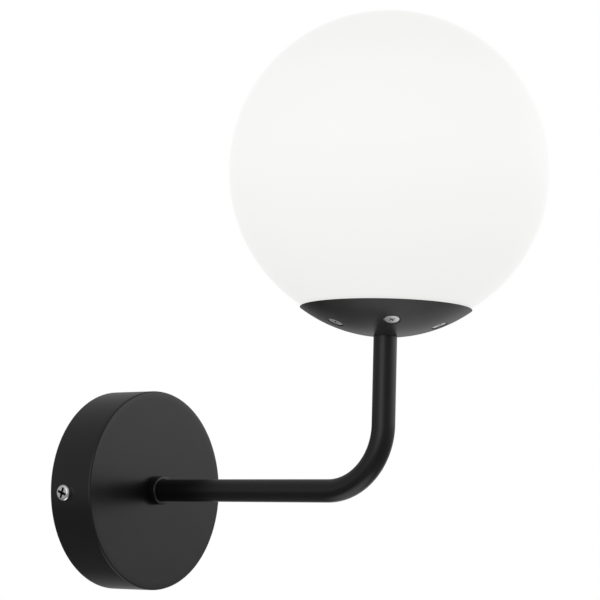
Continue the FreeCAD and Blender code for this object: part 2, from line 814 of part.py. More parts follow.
def clip_nuts():
    """Small nuts that hold the clips on the screws."""
    top = clip_foot_depth() + clip_thickness
    nut = hex_nut(small_nut_across_flats, screw_radius + shaft_gap, -top - small_nut_height, small_nut_height)
    return Part.makeCompound(round_all_screws(on_screw_axis(nut)))


def globe_gasket():
    """Silicone ring in the dish, just under the edge of the glass."""
    upper = globe_radius + seat_gap
    body = turned((gasket_inner, bowl(carrier_under, dish_centre, gasket_inner)),
                  bowl_arc(carrier_under, dish_centre, gasket_inner, gasket_outer),
                  (gasket_outer, bowl(upper, globe_centre, gasket_outer)),
                  bowl_arc(upper, globe_centre, gasket_outer, gasket_inner))
    return under_globe(body)


def dish_lock_washer():
    """Split washer on the inner cup's seat."""
    return under_globe(spring_washer(washer_diameter / 2, thread_radius + hole_gap, dish_washer_base,
                                     washer_thickness))


def dish_nut():
    """Nut that clamps the dish and the inner cup to the tube's shoulder."""
    return under_globe(hex_nut(nut_across_flats, thread_radius + shaft_gap, dish_nut_base, nut_height))


# ---------------------------------------------------------------- lampholder
def lampholder_cap():
    """Lower half of the lampholder, screwed on the tube's thread."""
    boss = cap_boss_diameter / 2
    hole = thread_radius + shaft_gap
    cone_low = holder_base + cap_boss_height
    cone_high = cone_low + cap_cone_height
    floor = thread_end - thread_over_floor
    narrow = holder_inner - insert_ledge
    body = turned((hole, holder_base), (boss, holder_base), (boss, cone_low), (holder_radius, cone_high),
                  (holder_radius, cap_top), (holder_inner, cap_top), (holder_inner, ledge_height),
                  (narrow, ledge_height), (narrow, cone_high + holder_wall / 2),
                  (boss - holder_wall / 2, floor), (hole, floor))
    return under_globe(body)


def lampholder_insert():
    """Ceramic disc between the two halves of the lampholder."""
    return under_globe(rod(holder_inner - shaft_gap, V(0, 0, ledge_height), V(0, 0, insert_top)))


def lampholder_posts():
    """Brass posts under the insert that the leads enter from below."""
    posts = []
    foot = ledge_height - post_height
    for side in (-1, 1):
        x = side * post_offset
        post = block((x, 0, foot + post_height / 2), (post_size, post_size, post_height))
        post = post.cut(rod(lead_radius + shaft_gap, V(x, 0, foot), V(x, 0, foot + post_height / 2)))
        post = post.cut(rod(terminal_screw_diameter / 2, V(x, 0, foot + post_screw_height),
                            V(x + side * post_size, 0, foot + post_screw_height)))
        posts.append(under_globe(post))
    return Part.makeCompound(posts)


def lampholder_skirt():
    """Upper half of the lampholder round the screw shell."""
    mouth = shell_radius + hole_gap
    shelf = insert_top + nest_gap
    flange = holder_radius + skirt_flange_width
    flange_top = cap_top + skirt_flange_height
    body = turned((holder_inner, cap_top), (flange, cap_top), (flange, flange_top),
                  (holder_radius, flange_top), *rounded(holder_radius, skirt_top, skirt_rounding),
                  (mouth, skirt_top), (mouth, shelf), (holder_inner, shelf))
    return under_globe(body)


def screw_shell():
    """Brass shell with its inturned floor on the insert."""
    inner = shell_radius - shell_wall
    floor = shell_radius - shell_floor_width
    top = insert_top + shell_height
    body = turned((floor, insert_top), (shell_radius, insert_top), (shell_radius, top), (inner, top),
                  (inner, insert_top + shell_wall), (floor, insert_top + shell_wall))
    return under_globe(body)


def centre_contact():
    """Bent bronze tongue in the middle of the lampholder."""
    t = contact_thickness
    rise_start, rise_end = contact_ramp
    strip = outline((-contact_reach, insert_top), (rise_start, insert_top), (rise_end, contact_top - t),
                    (contact_reach, contact_top - t), (contact_reach, contact_top),
                    (rise_end - t / 2, contact_top), (rise_start - t / 2, insert_top + t),
                    (-contact_reach, insert_top + t))
    return under_globe(extruded(strip, contact_width))


# ---------------------------------------------------------------- bulb
def bulb_glass():
    """Hollow glass of the bulb: a neck in the cap, a throat and a ball."""
    return under_globe(bulb_form(0.0).cut(bulb_form(bulb_glass_wall)))


def bulb_form(inset):
    """Solid of the bulb's glass, smaller by an inset all round."""
    ball = bulb_radius - inset
    neck = bulb_neck_radius - inset
    neck_low = bulb_cap_top - bulb_neck_in_cap + inset
    throat = math.radians(bulb_throat_angle)
    join = (ball * math.cos(throat), bulb_centre - ball * math.sin(throat))
    waist = ((neck + join[0]) / 2 - bulb_throat_draw, (bulb_neck_top + join[1]) / 2)
    return turned((0, neck_low), (neck, neck_low), (neck, bulb_neck_top), (waist, join),
                  ((ball, bulb_centre), (0, bulb_centre + ball)))


def bulb_cap():
    """Metal screw cap of the bulb."""
    w = bulb_cap_wall
    low = bulb_bottom + bulb_tip_height + bulb_cone_height
    wide = low + bulb_cap_taper
    body = turned((bulb_cap_foot, low), (bulb_cap_radius, wide), (bulb_cap_radius, bulb_cap_top),
                  (bulb_cap_radius - w, bulb_cap_top), (bulb_cap_radius - w, wide + w / 2),
                  (bulb_cap_foot - w, low + w / 2))
    return under_globe(body)


def bulb_insulator():
    """Dark glass cone between the cap and the tip."""
    low = bulb_bottom + bulb_tip_height
    foot = bulb_cap_foot - bulb_cap_wall - shaft_gap
    top = low + bulb_insulator_height
    return under_globe(turned((0, low), (bulb_tip_diameter / 2, low), (foot, low + bulb_cone_height),
                              (foot, top), (0, top)))


def bulb_tip():
    """Domed centre contact of the bulb."""
    r = bulb_tip_diameter / 2
    curve = (r**2 + bulb_tip_height**2) / (2 * bulb_tip_height)
    body = turned((0, bulb_bottom), bowl_arc(curve, bulb_bottom + curve, 0, r),
                  (0, bulb_bottom + bulb_tip_height))
    return under_globe(body)


# ---------------------------------------------------------------- globe
def globe():
    """Blown opal glass ball with a round opening at the bottom."""
    outer = globe_radius
    inner = outer - globe_wall
    edge_low = bowl(outer, globe_centre, opening_radius)
    body = turned((opening_radius, edge_low), ((outer, globe_centre), (0, globe_centre + outer)),
                  (0, globe_centre + inner), ((inner, globe_centre), (opening_radius, glass_edge_top)))
    return under_globe(body)


# ---------------------------------------------------------------- all pieces, each named as its function
pieces = [wall_bracket, bracket_earth_stud, bracket_earth_washer, bracket_earth_nut,
          canopy, canopy_side_screws, arm_collar, arm_tube, wire_bushes,
          earth_tag, canopy_lock_washer, canopy_nut,
          terminal_block, terminal_inserts, terminal_screws, terminal_block_screws,
          live_lead, neutral_lead, earth_lead,
          dish, globe_carrier, dish_screws, globe_clips, clip_nuts, globe_gasket,
          dish_lock_washer, dish_nut,
          lampholder_cap, lampholder_insert, lampholder_posts, lampholder_skirt, screw_shell,
          centre_contact,
          globe, bulb_glass, bulb_cap, bulb_insulator, bulb_tip]

os.makedirs("parts", exist_ok=True)
for make in pieces:
    shape = make()
    shape.exportStep("parts/" + make.__name__ + ".step")
    box = shape.BoundBox
    print(f"{make.__name__:22s} solids {len(shape.Solids)} valid {shape.isValid()} volume {shape.Volume:10.1f} "
          f"x {box.XMin:7.1f} {box.XMax:7.1f} y {box.YMin:7.1f} {box.YMax:7.1f} z {box.ZMin:7.1f} {box.ZMax:7.1f}")
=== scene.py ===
"""Finishes and fine detail of a globe wall sconce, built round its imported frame.

Sizes are in millimetres and angles in degrees, unless a docstring says otherwise. Meshes are
made in metres, in the frame's own axes.
"""

import logging
import math
from collections.abc import Callable, Sequence
from dataclasses import dataclass, field
from enum import Enum

import bmesh
import bpy
from mathutils import Matrix, Vector


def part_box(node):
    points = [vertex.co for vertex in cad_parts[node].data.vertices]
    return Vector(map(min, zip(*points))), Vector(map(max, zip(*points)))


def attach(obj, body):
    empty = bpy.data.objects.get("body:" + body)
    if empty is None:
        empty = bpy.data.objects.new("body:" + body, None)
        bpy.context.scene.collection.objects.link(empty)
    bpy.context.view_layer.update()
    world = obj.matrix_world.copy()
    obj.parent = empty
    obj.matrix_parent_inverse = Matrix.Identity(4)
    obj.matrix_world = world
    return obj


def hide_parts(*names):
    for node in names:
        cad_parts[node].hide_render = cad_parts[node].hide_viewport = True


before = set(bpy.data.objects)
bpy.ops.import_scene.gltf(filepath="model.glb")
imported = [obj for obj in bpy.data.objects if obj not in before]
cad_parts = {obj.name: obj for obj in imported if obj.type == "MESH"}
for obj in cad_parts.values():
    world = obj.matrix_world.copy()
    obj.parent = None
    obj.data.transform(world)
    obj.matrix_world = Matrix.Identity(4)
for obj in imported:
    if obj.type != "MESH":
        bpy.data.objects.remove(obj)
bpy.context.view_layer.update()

MM = 0.001
AS_DRAWN = Matrix.Identity(4)
OVERCUT = 1.0  # how far a cutter reaches past what it cuts
LOG = logging.getLogger("sconce")

Outline = list[tuple[float, float]]
Colour = tuple[float, float, float]
Point = tuple[float, float, float]
Radius = Callable[[float, float], float]
Piece = bpy.types.Object
Pairs = tuple[tuple[float, float], ...]


# Shader trees
class Value:
    """An output socket that Python expressions can use."""

    def __init__(self, board: "Board", socket: bpy.types.NodeSocket) -> None:
        """Wrap one socket of a tree."""
        self.board = board
        self.socket = socket

    def _math(self, operation: str, first: "Value | float", second: "Value | float") -> "Value":
        """Add one Math node on two numbers."""
        return self.board.make("ShaderNodeMath", {"operation": operation}, {0: first, 1: second})

    def __add__(self, other: "Value | float") -> "Value":
        """Sum."""
        return self._math("ADD", self, other)

    __radd__ = __add__

    def __sub__(self, other: "Value | float") -> "Value":
        """Difference."""
        return self._math("SUBTRACT", self, other)

    def __rsub__(self, other: float) -> "Value":
        """Difference with a plain number first."""
        return self._math("SUBTRACT", other, self)

    def __mul__(self, other: "Value | float") -> "Value":
        """Product."""
        return self._math("MULTIPLY", self, other)

    __rmul__ = __mul__


@dataclass(frozen=True)
class Noise:
    """A soft noise over a surface, from 0 to 1.

    Attributes:
        size: Size of its features.
        detail: Number of finer layers.
        share: Strength of the finer layers.
        swing: How much it changes the roughness between its lowest and its highest.
        patch: The part of its range over which it changes the colour.
    """

    size: float
    detail: float = 2.0
    share: float = 0.5
    swing: float = 0.0
    patch: tuple[float, float] = (0.3, 0.7)

    def swung(self, given: Value) -> Value:
        """What it adds to the roughness, up and down."""
        return (given - 0.5) * self.swing


class Board:
    """A material's or the world's tree of nodes."""

    def __init__(self, tree: bpy.types.NodeTree) -> None:
        """Empty a tree, to fill it."""
        self.tree = tree
        tree.nodes.clear()

    def node(self, kind: str, settings: dict | None = None,
             inputs: dict | None = None) -> bpy.types.Node:
        """Add one node.

        Args:
            kind: The node's Blender type.
            settings: Attributes that are set first; "stops" fills a colour ramp.
            inputs: Values or links, by the name or number of the input.

        Returns:
            The new node.
        """
        made = self.tree.nodes.new(kind)
        for key, setting in (settings or {}).items():
            if key == "stops":
                fill_ramp(made.color_ramp, setting)
            else:
                setattr(made, key, setting)
        for key, given in (inputs or {}).items():
            if isinstance(given, Value):
                self.tree.links.new(given.socket, made.inputs[key])
            else:
                made.inputs[key].default_value = given
        return made

    def make(self, kind: str, settings: dict | None = None, inputs: dict | None = None,
             output: int | str = 0) -> Value:
        """Add one node as node() does, and take one of its outputs."""
        return Value(self, self.node(kind, settings, inputs).outputs[output])

    def place(self) -> Value:
        """Position on the object, in metres."""
        return self.make("ShaderNodeTexCoord", output="Object")

    def part(self, where: Value, axis: str) -> Value:
        """One coordinate of a position."""
        return self.make("ShaderNodeSeparateXYZ", {}, {0: where}, axis)

    def dot(self, where: Value, way: Sequence[float]) -> Value:
        """Length of a vector along a direction."""
        settings = {"operation": "DOT_PRODUCT"}
        return self.make("ShaderNodeVectorMath", settings, {0: where, 1: way}, "Value")

    def stretched(self, where: Value, scale: Sequence[float]) -> Value:
        """Position scaled differently along each axis."""
        return self.make("ShaderNodeVectorMath", {"operation": "MULTIPLY"}, {0: where, 1: scale})

    def noise(self, where: Value, noise: Noise) -> Value:
        """A noise at a position."""
        return self.make("ShaderNodeTexNoise", {}, {
            "Vector": where, "Scale": 1 / (noise.size * MM), "Detail": noise.detail,
            "Roughness": noise.share})

    def span(self, given: Value, low: float, high: float, to_low: float = 0.0,
             to_high: float = 1.0) -> Value:
        """Map a range of a value on another range, clamped."""
        return self.make("ShaderNodeMapRange", {"clamp": True}, {
            "Value": given, "From Min": low, "From Max": high, "To Min": to_low,
            "To Max": to_high})

    def blend(self, factor: Value, first: Value | Sequence, second: Value | Sequence) -> Value:
        """Mix two colours."""
        return self.make("ShaderNodeMix", {"data_type": "RGBA"},
                         {0: factor, 6: opaque(first), 7: opaque(second)}, output=2)

    def bump(self, height: Value, depth: float, strength: float = 0.5) -> Value:
        """Turn a height from 0 to 1 into a bent normal, with its real depth."""
        return self.make("ShaderNodeBump", {}, {
            "Strength": strength, "Distance": depth * MM, "Height": height})

    def surface(self, inputs: dict) -> None:
        """Finish the tree with a Principled surface."""
        shader = self.make("ShaderNodeBsdfPrincipled", {}, inputs)
        self.node("ShaderNodeOutputMaterial", {}, {"Surface": shader})


def fill_ramp(ramp: bpy.types.ColorRamp, stops: Sequence[tuple[float, Colour]]) -> None:
    """Give a colour ramp its stops.

    Args:
        ramp: The ramp.
        stops: Position and colour of each stop, in order.
    """
    while len(ramp.elements) < len(stops):
        ramp.elements.new(1.0)
    for element, (position, colour) in zip(ramp.elements, stops):
        element.position = position
        element.color = opaque(colour)


def opaque(colour: Value | Sequence) -> Value | Sequence:
    """Give a plain colour its fourth number."""
    return colour if isinstance(colour, Value) else (*colour[:3], 1.0)


def scaled(colour: Colour, share: float) -> Colour:
    """Make a colour lighter or darker."""
    return tuple(share * c for c in colour)


# Finishes
@dataclass(frozen=True)
class Finish:
    """What every finish has: a name and a way to make its material once."""

    name: str

    def material(self) -> bpy.types.Material:
        """Make the material, or find it if it was made before.

        Returns:
            The material.
        """
        found = bpy.data.materials.get("sconce_" + self.name)
        if found is None:
            found = bpy.data.materials.new("sconce_" + self.name)
            found.use_nodes = True
            self.paint(Board(found.node_tree))
        return found

    def paint(self, board: Board) -> None:
        """Fill the tree; each finish has its own."""
        raise NotImplementedError(self.name)


@dataclass(frozen=True)
class Enamel(Finish):
    """Baked satin enamel with broad clouds, fine dust and an orange peel."""

    colour: Colour = (0.0020, 0.0020, 0.0021)
    roughness: float = 0.26
    gloss: float = 0.5
    cloud: Noise = Noise(18.0, 3.0, swing=0.05, patch=(0.35, 0.7))
    cloud_light: float = 1.5
    dust: Noise = Noise(0.25, 1.0, swing=0.03)
    dust_height: float = 0.25
    peel: Noise = Noise(0.9, 2.0, 0.4)
    peel_depth: float = 0.006

    def paint(self, board: Board) -> None:
        """Fill the tree."""
        where = board.place()
        cloud = board.noise(where, self.cloud)
        dust = board.noise(where, self.dust)
        relief = board.noise(where, self.peel) + dust * self.dust_height
        board.surface({
            "Base Color": board.blend(board.span(cloud, *self.cloud.patch), self.colour,
                                      scaled(self.colour, self.cloud_light)),
            "Roughness": self.roughness + self.cloud.swung(cloud) + self.dust.swung(dust),
            "Specular IOR Level": self.gloss,
            "Normal": board.bump(relief, self.peel_depth, strength=0.6)})


@dataclass(frozen=True)
class Plated(Finish):
    """Bright metal with drawn streaks and a faint mottle."""

    colour: Colour = (0.60, 0.62, 0.64)
    tint: Colour = (0.66, 0.62, 0.54)
    roughness: float = 0.30
    drawn: Point = (1.0, 0.08, 1.0)
    streak_depth: float = 0.004
    streak: Noise = Noise(0.35, 3.0, 0.6, swing=0.14)
    mottle: Noise = Noise(4.0, 3.0, swing=0.08, patch=(0.42, 0.75))
    tint_share: float = 0.6

    def paint(self, board: Board) -> None:
        """Fill the tree."""
        where = board.place()
        streak = board.noise(board.stretched(where, self.drawn), self.streak)
        mottle = board.noise(where, self.mottle)
        tinted = board.span(mottle, *self.mottle.patch, 0.0, self.tint_share)
        board.surface({
            "Base Color": board.blend(tinted, self.colour, self.tint),
            "Metallic": 1.0,
            "Roughness": self.roughness + self.streak.swung(streak) + self.mottle.swung(mottle),
            "Normal": board.bump(streak, self.streak_depth)})


@dataclass(frozen=True)
class OpalGlass(Finish):
    """White opal glass with a painted glow: its emission stands in for the light that the glass
    spreads inside itself, so it looks evenly lit.

    Each of its painted shade fades dims the painted glow towards the dish or towards the top; it
    gives the height where the glow is full, the height where it is dimmest, and the share that is
    left there.
    """

    colour: Colour = (0.11, 0.11, 0.109)
    roughness: float = 0.215
    # painted glow: an even emission colour that stands in for light through the opal glass; the
    # base colour under it is kept dark
    painted_glow: Colour = (0.842, 0.842, 0.836)
    gloss: float = 0.01
    # painted shade: fades that dim the painted glow by height
    painted_shade_fades: tuple[tuple[float, float, float], ...] = ()
    cloud: Noise = Noise(45.0, 2.0, swing=0.03)
    milk: float = 0.98
    ripple: Noise = Noise(9.0, 1.0)
    ripple_depth: float = 0.01

    def paint(self, board: Board) -> None:
        """Fill the tree."""
        where = board.place()
        cloud = board.noise(where, self.cloud)
        light: Value | Colour = self.painted_glow
        # painted shade: the painted glow is dimmed by height
        for full, dimmest, share in self.painted_shade_fades:
            painted_shade_mask = board.span(board.part(where, "Z"), full * MM, dimmest * MM)
            light = board.blend(painted_shade_mask, light, scaled(self.painted_glow, share))
        board.surface({
            "Base Color": board.blend(cloud, scaled(self.colour, self.milk), self.colour),
            "Roughness": self.roughness + self.cloud.swung(cloud),
            "Specular IOR Level": self.gloss,
            # painted glow, lit evenly whatever the lamps do
            "Emission Color": opaque(light),
            "Emission Strength": 1.0,
            "Normal": board.bump(board.noise(where, self.ripple), self.ripple_depth)})


@dataclass(frozen=True)
class Moulded(Finish):
    """Moulded plastic, rubber or glaze: one colour, a flow mottle and a fine grain."""

    colour: Colour = (0.80, 0.79, 0.75)
    roughness: float = 0.45
    mottle: float = 0.12
    grain_size: float = 0.3
    grain_depth: float = 0.004
    painted_glow: float = 0.0
    flow: Noise = Noise(7.0, 4.0, swing=0.05)

    def paint(self, board: Board) -> None:
        """Fill the tree."""
        where = board.place()
        flow = board.noise(where, self.flow)
        fine = Noise(self.grain_size, swing=0.06)
        grain = board.noise(where, fine)
        board.surface({
            "Base Color": board.blend(board.span(flow, *self.flow.patch),
                                      scaled(self.colour, 1 - self.mottle), self.colour),
            "Roughness": self.roughness + fine.swung(grain) + self.flow.swung(flow),
            "Emission Color": opaque(self.colour),
            "Emission Strength": self.painted_glow,
            "Normal": board.bump(grain, self.grain_depth, strength=0.6)})


@dataclass(frozen=True)
class Striped(Finish):
    """Insulation with a stripe along one side of the lead."""

    colour: Colour = (0.07, 0.30, 0.08)
    stripe: Colour = (0.72, 0.60, 0.05)
    stripe_edge: float = 0.25
    edge_width: float = 0.06
    wander: Noise = Noise(12.0)
    wander_width: float = 0.4
    roughness: float = 0.42
    grain: Noise = Noise(0.4, swing=0.08)
    grain_depth: float = 0.006

    def paint(self, board: Board) -> None:
        """Fill the tree."""
        where = board.place()
        across = board.part(where, "X") + board.noise(where, self.wander) * (self.wander_width * MM)
        mark = board.span(across, self.stripe_edge * MM, (self.stripe_edge + self.edge_width) * MM)
        grain = board.noise(where, self.grain)
        board.surface({
            "Base Color": board.blend(mark, self.colour, self.stripe),
            "Roughness": self.roughness + self.grain.swung(grain),
            "Normal": board.bump(grain, self.grain_depth)})


EVEN = (1.0, 1.0, 1.0)
ENAMEL = Enamel("black_enamel")
# painted light: the canopy's black enamel made about ten times lighter, so the dish looks brighter
DISH_ENAMEL_PAINTED_LIGHT = Enamel("dish_enamel_painted_light", (0.0210, 0.0210, 0.0213), 0.30, gloss=0.26)
ZINC = Plated("zinc_plate")
CHROME = Plated("chrome", (0.92, 0.92, 0.93), (0.84, 0.84, 0.86), 0.17, EVEN, 0.001)
NICKEL = Plated("nickel", (0.96, 0.96, 0.96), (0.92, 0.92, 0.91), 0.36, EVEN, 0.001)
# grime and painted shade: a dark metal that the cutters leave on the faces of every cross recess
RECESS_GRIME_AND_SHADE = Plated("recess", (0.05, 0.05, 0.05), (0.09, 0.085, 0.08), 0.42, EVEN, 0.002)
BRASS = Plated("brass", (0.72, 0.50, 0.20), (0.60, 0.38, 0.14), 0.28, (1.0, 1.0, 0.06))
BRONZE = Plated("bronze", (0.66, 0.40, 0.20), (0.56, 0.32, 0.15), 0.26)
BULB_METAL = Plated("bulb_cap_metal", (0.66, 0.65, 0.62), (0.58, 0.56, 0.52), 0.24, (0.1, 0.1, 1.0))
SOLDER = Plated("solder", (0.55, 0.55, 0.57), (0.44, 0.44, 0.46), 0.40, EVEN)
# painted glow on the globe, dimmed by painted shade towards the dish and towards the top
OPAL = OpalGlass("opal_glass", painted_shade_fades=((156.0, 86.0, 0.915), (185.0, 227.0, 0.955)))
FROSTED = OpalGlass("frosted_glass", (0.74, 0.74, 0.72), 0.435, (0.08, 0.08, 0.078), 0.4)
PORCELAIN = Moulded("porcelain", (0.82, 0.80, 0.75), 0.16, 0.05, 1.5, 0.004)
BAKELITE = Moulded("black_moulding", (0.016, 0.015, 0.015), 0.30, 0.3, 0.5, 0.004)
NYLON = Moulded("nylon", (0.76, 0.75, 0.70), 0.48, 0.06, 0.3, 0.006)
SILICONE = Moulded("silicone", (0.66, 0.66, 0.63), 0.50, 0.08, 0.6, 0.006)
BLACK_GLASS = Moulded("black_glass", (0.010, 0.010, 0.016), 0.10, 0.4, 1.2, 0.003)
BROWN_LEAD = Moulded("brown_lead", (0.130, 0.045, 0.018), 0.36, 0.12, 0.4, 0.006)
BLUE_LEAD = Moulded("blue_lead", (0.020, 0.095, 0.42), 0.36, 0.12, 0.4, 0.006)
EARTH_LEAD = Striped("earth_lead")
FLOOR = Moulded("floor", (0.80, 0.80, 0.79), 0.7, 0.03, 5.0, 0.02, 0.42)


# Shapes
@dataclass(frozen=True)
class Span:
    """Where a CAD node lies."""

    low: Vector
    high: Vector

    @classmethod
    def of(cls, node: str) -> "Span":
        """Measure a node of the frame."""
        low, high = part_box(node)
        return cls(low / MM, high / MM)

    @property
    def middle(self) -> Vector:
        """Centre of the box."""
        return (self.low + self.high) / 2

    @property
    def size(self) -> Vector:
        """Size of the box along each axis."""
        return self.high - self.low

    @property
    def radius(self) -> float:
        """Half its width, which is the radius of a turned piece."""
        return self.size.x / 2


class Axis(Enum):
    """The two axes that turned pieces stand on."""

    ARM = "out of the wall"
    GLOBE = "upright under the globe"

    def matrix(self, reach: float) -> Matrix:
        """Place a piece that is drawn along +Z.

        Args:
            reach: Distance of the globe's axis from the wall.

        Returns:
            The matrix from the drawing to the frame.
        """
        if self is Axis.ARM:
            return Matrix.Rotation(math.pi / 2, 4, "X")
        return Matrix.Translation((0, -reach, 0))


@dataclass(frozen=True)
class Corner:
    """A corner of a turned outline: radius, height and rounding."""

    r: float
    z: float
    rounding: float = 0.0


def softened(corners: Sequence[Corner], step: float = 9.0) -> Outline:
    """Round the corners of a closed outline.

    Args:
        corners: The corners in order.
        step: Arc between points.

    Returns:
        Points of the outline.
    """
    points: Outline = []
    for i, corner in enumerate(corners):
        here = Vector((corner.r, corner.z))
        back = Vector((corners[i - 1].r, corners[i - 1].z)) - here
        ahead_corner = corners[(i + 1) % len(corners)]
        ahead = Vector((ahead_corner.r, ahead_corner.z)) - here
        if corner.rounding <= 0 or back.length * ahead.length == 0:
            points.append((here.x, here.y))
            continue
        half = back.angle(ahead) / 2
        longest = 0.49 * min(back.length, ahead.length)
        reach = min(corner.rounding / math.tan(half), longest)
        radius = reach * math.tan(half)
        inward = (back.normalized() + ahead.normalized()).normalized()
        centre = here + inward * (radius / math.sin(half))
        start = here + back.normalized() * reach - centre
        end = here + ahead.normalized() * reach - centre
        turn = start.angle_signed(end)
        count = max(2, round(abs(math.degrees(turn)) / step))
        for k in range(count + 1):
            spoke = start.copy()
            spoke.rotate(Matrix.Rotation(-turn * k / count, 2))
            points.append(((centre + spoke).x, (centre + spoke).y))
    return points


def sphere_arc(radius: float, centre: float, start: float, end: float, count: int) -> Outline:
    """Points along a sphere's section.

    Args:
        radius: Radius of the sphere.
        centre: Height of its centre.
        start: First angle above level.
        end: Last angle.
        count: Number of steps.

    Returns:
        Points as radius and height.
    """
    angles = [math.radians(start + (end - start) * k / count) for k in range(count + 1)]
    return [(radius * math.cos(a), centre + radius * math.sin(a)) for a in angles]


def finer(outline: Outline, longest: float) -> Outline:
    """Divide the long sides of a closed outline.

    Args:
        outline: The outline.
        longest: Longest side that stays whole.

    Returns:
        The outline with more points.
    """
    points: Outline = []
    for (r1, z1), (r2, z2) in zip(outline, outline[1:] + outline[:1]):
        count = max(1, math.ceil(math.hypot(r2 - r1, z2 - z1) / longest))
        points += [(r1 + (r2 - r1) * k / count, z1 + (z2 - z1) * k / count) for k in range(count)]
    return points


def rod(radius: float, low: float, high: float) -> Outline:
    """Outline of a plain rod."""
    return [(0, low), (radius, low), (radius, high), (0, high)]


def oblong(half_length: float, half_width: float) -> Outline:
    """Corners of a rectangle about the origin."""
    x, y = half_length, half_width
    return [(-x, -y), (x, -y), (x, y), (-x, y)]


def circle(count: int) -> list[float]:
    """Evenly spread angles, in radians."""
    return [2 * math.pi * k / count for k in range(count)]


def smoothed(mesh: bpy.types.Mesh, sharp: float) -> bpy.types.Mesh:
    """Shade a mesh smooth, apart from the edges that turn by more than an angle.

    Args:
        mesh: The mesh.
        sharp: The angle.

    Returns:
        The mesh.
    """
    mesh.shade_smooth()
    mesh.set_sharp_from_angle(angle=math.radians(sharp))
    return mesh


def placed(name: str, data: bpy.types.ID) -> Piece:
    """Put a mesh, camera or lamp in the scene.

    Args:
        name: Name of the object.
        data: What it shows.

    Returns:
        The object.
    """
    made = bpy.data.objects.new(name, data)
    bpy.context.scene.collection.objects.link(made)
    return made


def to_object(name: str, bm: bmesh.types.BMesh, place: Matrix,
              sharp: float = 32.0) -> Piece:
    """Turn a drawing into an object in metres.

    Args:
        name: Name of the piece.
        bm: The drawing; it is freed.
        place: Matrix from the drawing to the frame.
        sharp: Edges that turn by more than this stay sharp.

    Returns:
        The object.
    """
    bmesh.ops.recalc_face_normals(bm, faces=bm.faces)
    bmesh.ops.transform(bm, matrix=Matrix.Scale(MM, 4) @ place, verts=bm.verts)
    mesh = bpy.data.meshes.new(name)
    bm.to_mesh(mesh)
    bm.free()
    return placed(name, smoothed(mesh, sharp))


def skin(bm: bmesh.types.BMesh, rings: Sequence[Sequence[bmesh.types.BMVert]],
         closed: bool) -> None:
    """Join rings of points with faces.

    Args:
        bm: The drawing.
        rings: The rings in order; a ring of one point is a pole.
        closed: Whether the last ring joins the first.
    """
    pairs = list(zip(rings, rings[1:]))
    if closed:
        pairs.append((rings[-1], rings[0]))
    for low, high in pairs:
        count = max(len(low), len(high))
        for k in range(count if count > 1 else 0):
            after = (k + 1) % count
            face = [low[k % len(low)], low[after % len(low)], high[after % len(high)],
                    high[k % len(high)]]
            bm.faces.new(list(dict.fromkeys(face)))


def turned(name: str, outline: Outline, place: Matrix, sides: int = 96) -> Piece:
    """Make a turned piece.

    Args:
        name: Name of the piece.
        outline: Closed outline of radii and heights.
        place: Matrix from the drawing to the frame.
        sides: Points in a ring.

    Returns:
        The piece.
    """
    on_axis = 1e-6
    bm = bmesh.new()
    rings = []
    for r, z in outline:
        angles = circle(1 if r < on_axis else sides)
        rings.append([bm.verts.new((r * math.cos(a), r * math.sin(a), z)) for a in angles])
    skin(bm, rings, closed=True)
    return to_object(name, bm, place)


def ribbed(name: str, heights: Sequence[float], outer: Radius, inner: Radius | None,
           place: Matrix, sides: int = 96) -> Piece:
    """Make a sleeve or rod whose radius changes with height and round it, such as a thread.

    Args:
        name: Name of the piece.
        heights: Heights of its rings.
        outer: Outer radius from height and angle.
        inner: Inner radius from height and angle, or nothing for a rod.
        place: Matrix from the drawing to the frame.
        sides: Points in a ring.

    Returns:
        The piece.
    """
    bm = bmesh.new()

    def ring(radius: Radius, z: float) -> list[bmesh.types.BMVert]:
        """Points of one ring."""
        return [bm.verts.new((radius(z, a) * math.cos(a), radius(z, a) * math.sin(a), z))
                for a in circle(sides)]

    rings = [ring(outer, z) for z in heights]
    if inner is None:
        rings.insert(0, [bm.verts.new((0, 0, heights[0]))])
        rings.append([bm.verts.new((0, 0, heights[-1]))])
    else:
        rings += [ring(inner, z) for z in reversed(heights)]
    skin(bm, rings, closed=inner is not None)
    return to_object(name, bm, place, sharp=50.0)


def piped(name: str, path: Sequence[Vector], outer: float, inner: float,
          sides: int) -> Piece:
    """Make a hollow tube along a path that starts square to X.

    Args:
        name: Name of the piece.
        path: Points of its centreline in the frame.
        outer: Outer radius.
        inner: Inner radius.
        sides: Points in a ring.

    Returns:
        The piece.
    """
    bm = bmesh.new()
    rings = {outer: [], inner: []}
    side = Vector((1, 0, 0))
    for i, point in enumerate(path):
        way = (path[min(i + 1, len(path) - 1)] - path[max(i - 1, 0)]).normalized()
        across = (side - way * side.dot(way)).normalized()
        up = way.cross(across)
        for radius, made in rings.items():
            made.append([bm.verts.new(point + radius * (math.cos(a) * across + math.sin(a) * up))
                         for a in circle(sides)])
    skin(bm, rings[outer] + list(reversed(rings[inner])), closed=True)
    return to_object(name, bm, AS_DRAWN)


def loft(name: str, sections: Sequence[tuple[Outline, float]], place: Matrix) -> Piece:
    """Make a solid through polygons of X and Y.

    Args:
        name: Name of the piece.
        sections: The polygons, each with its height.
        place: Matrix from the drawing to the frame.

    Returns:
        The piece.
    """
    bm = bmesh.new()
    rings = [[bm.verts.new((x, y, z)) for x, y in points] for points, z in sections]
    skin(bm, rings, closed=False)
    for ring in rings:
        bm.faces.new(ring)
    return to_object(name, bm, place)


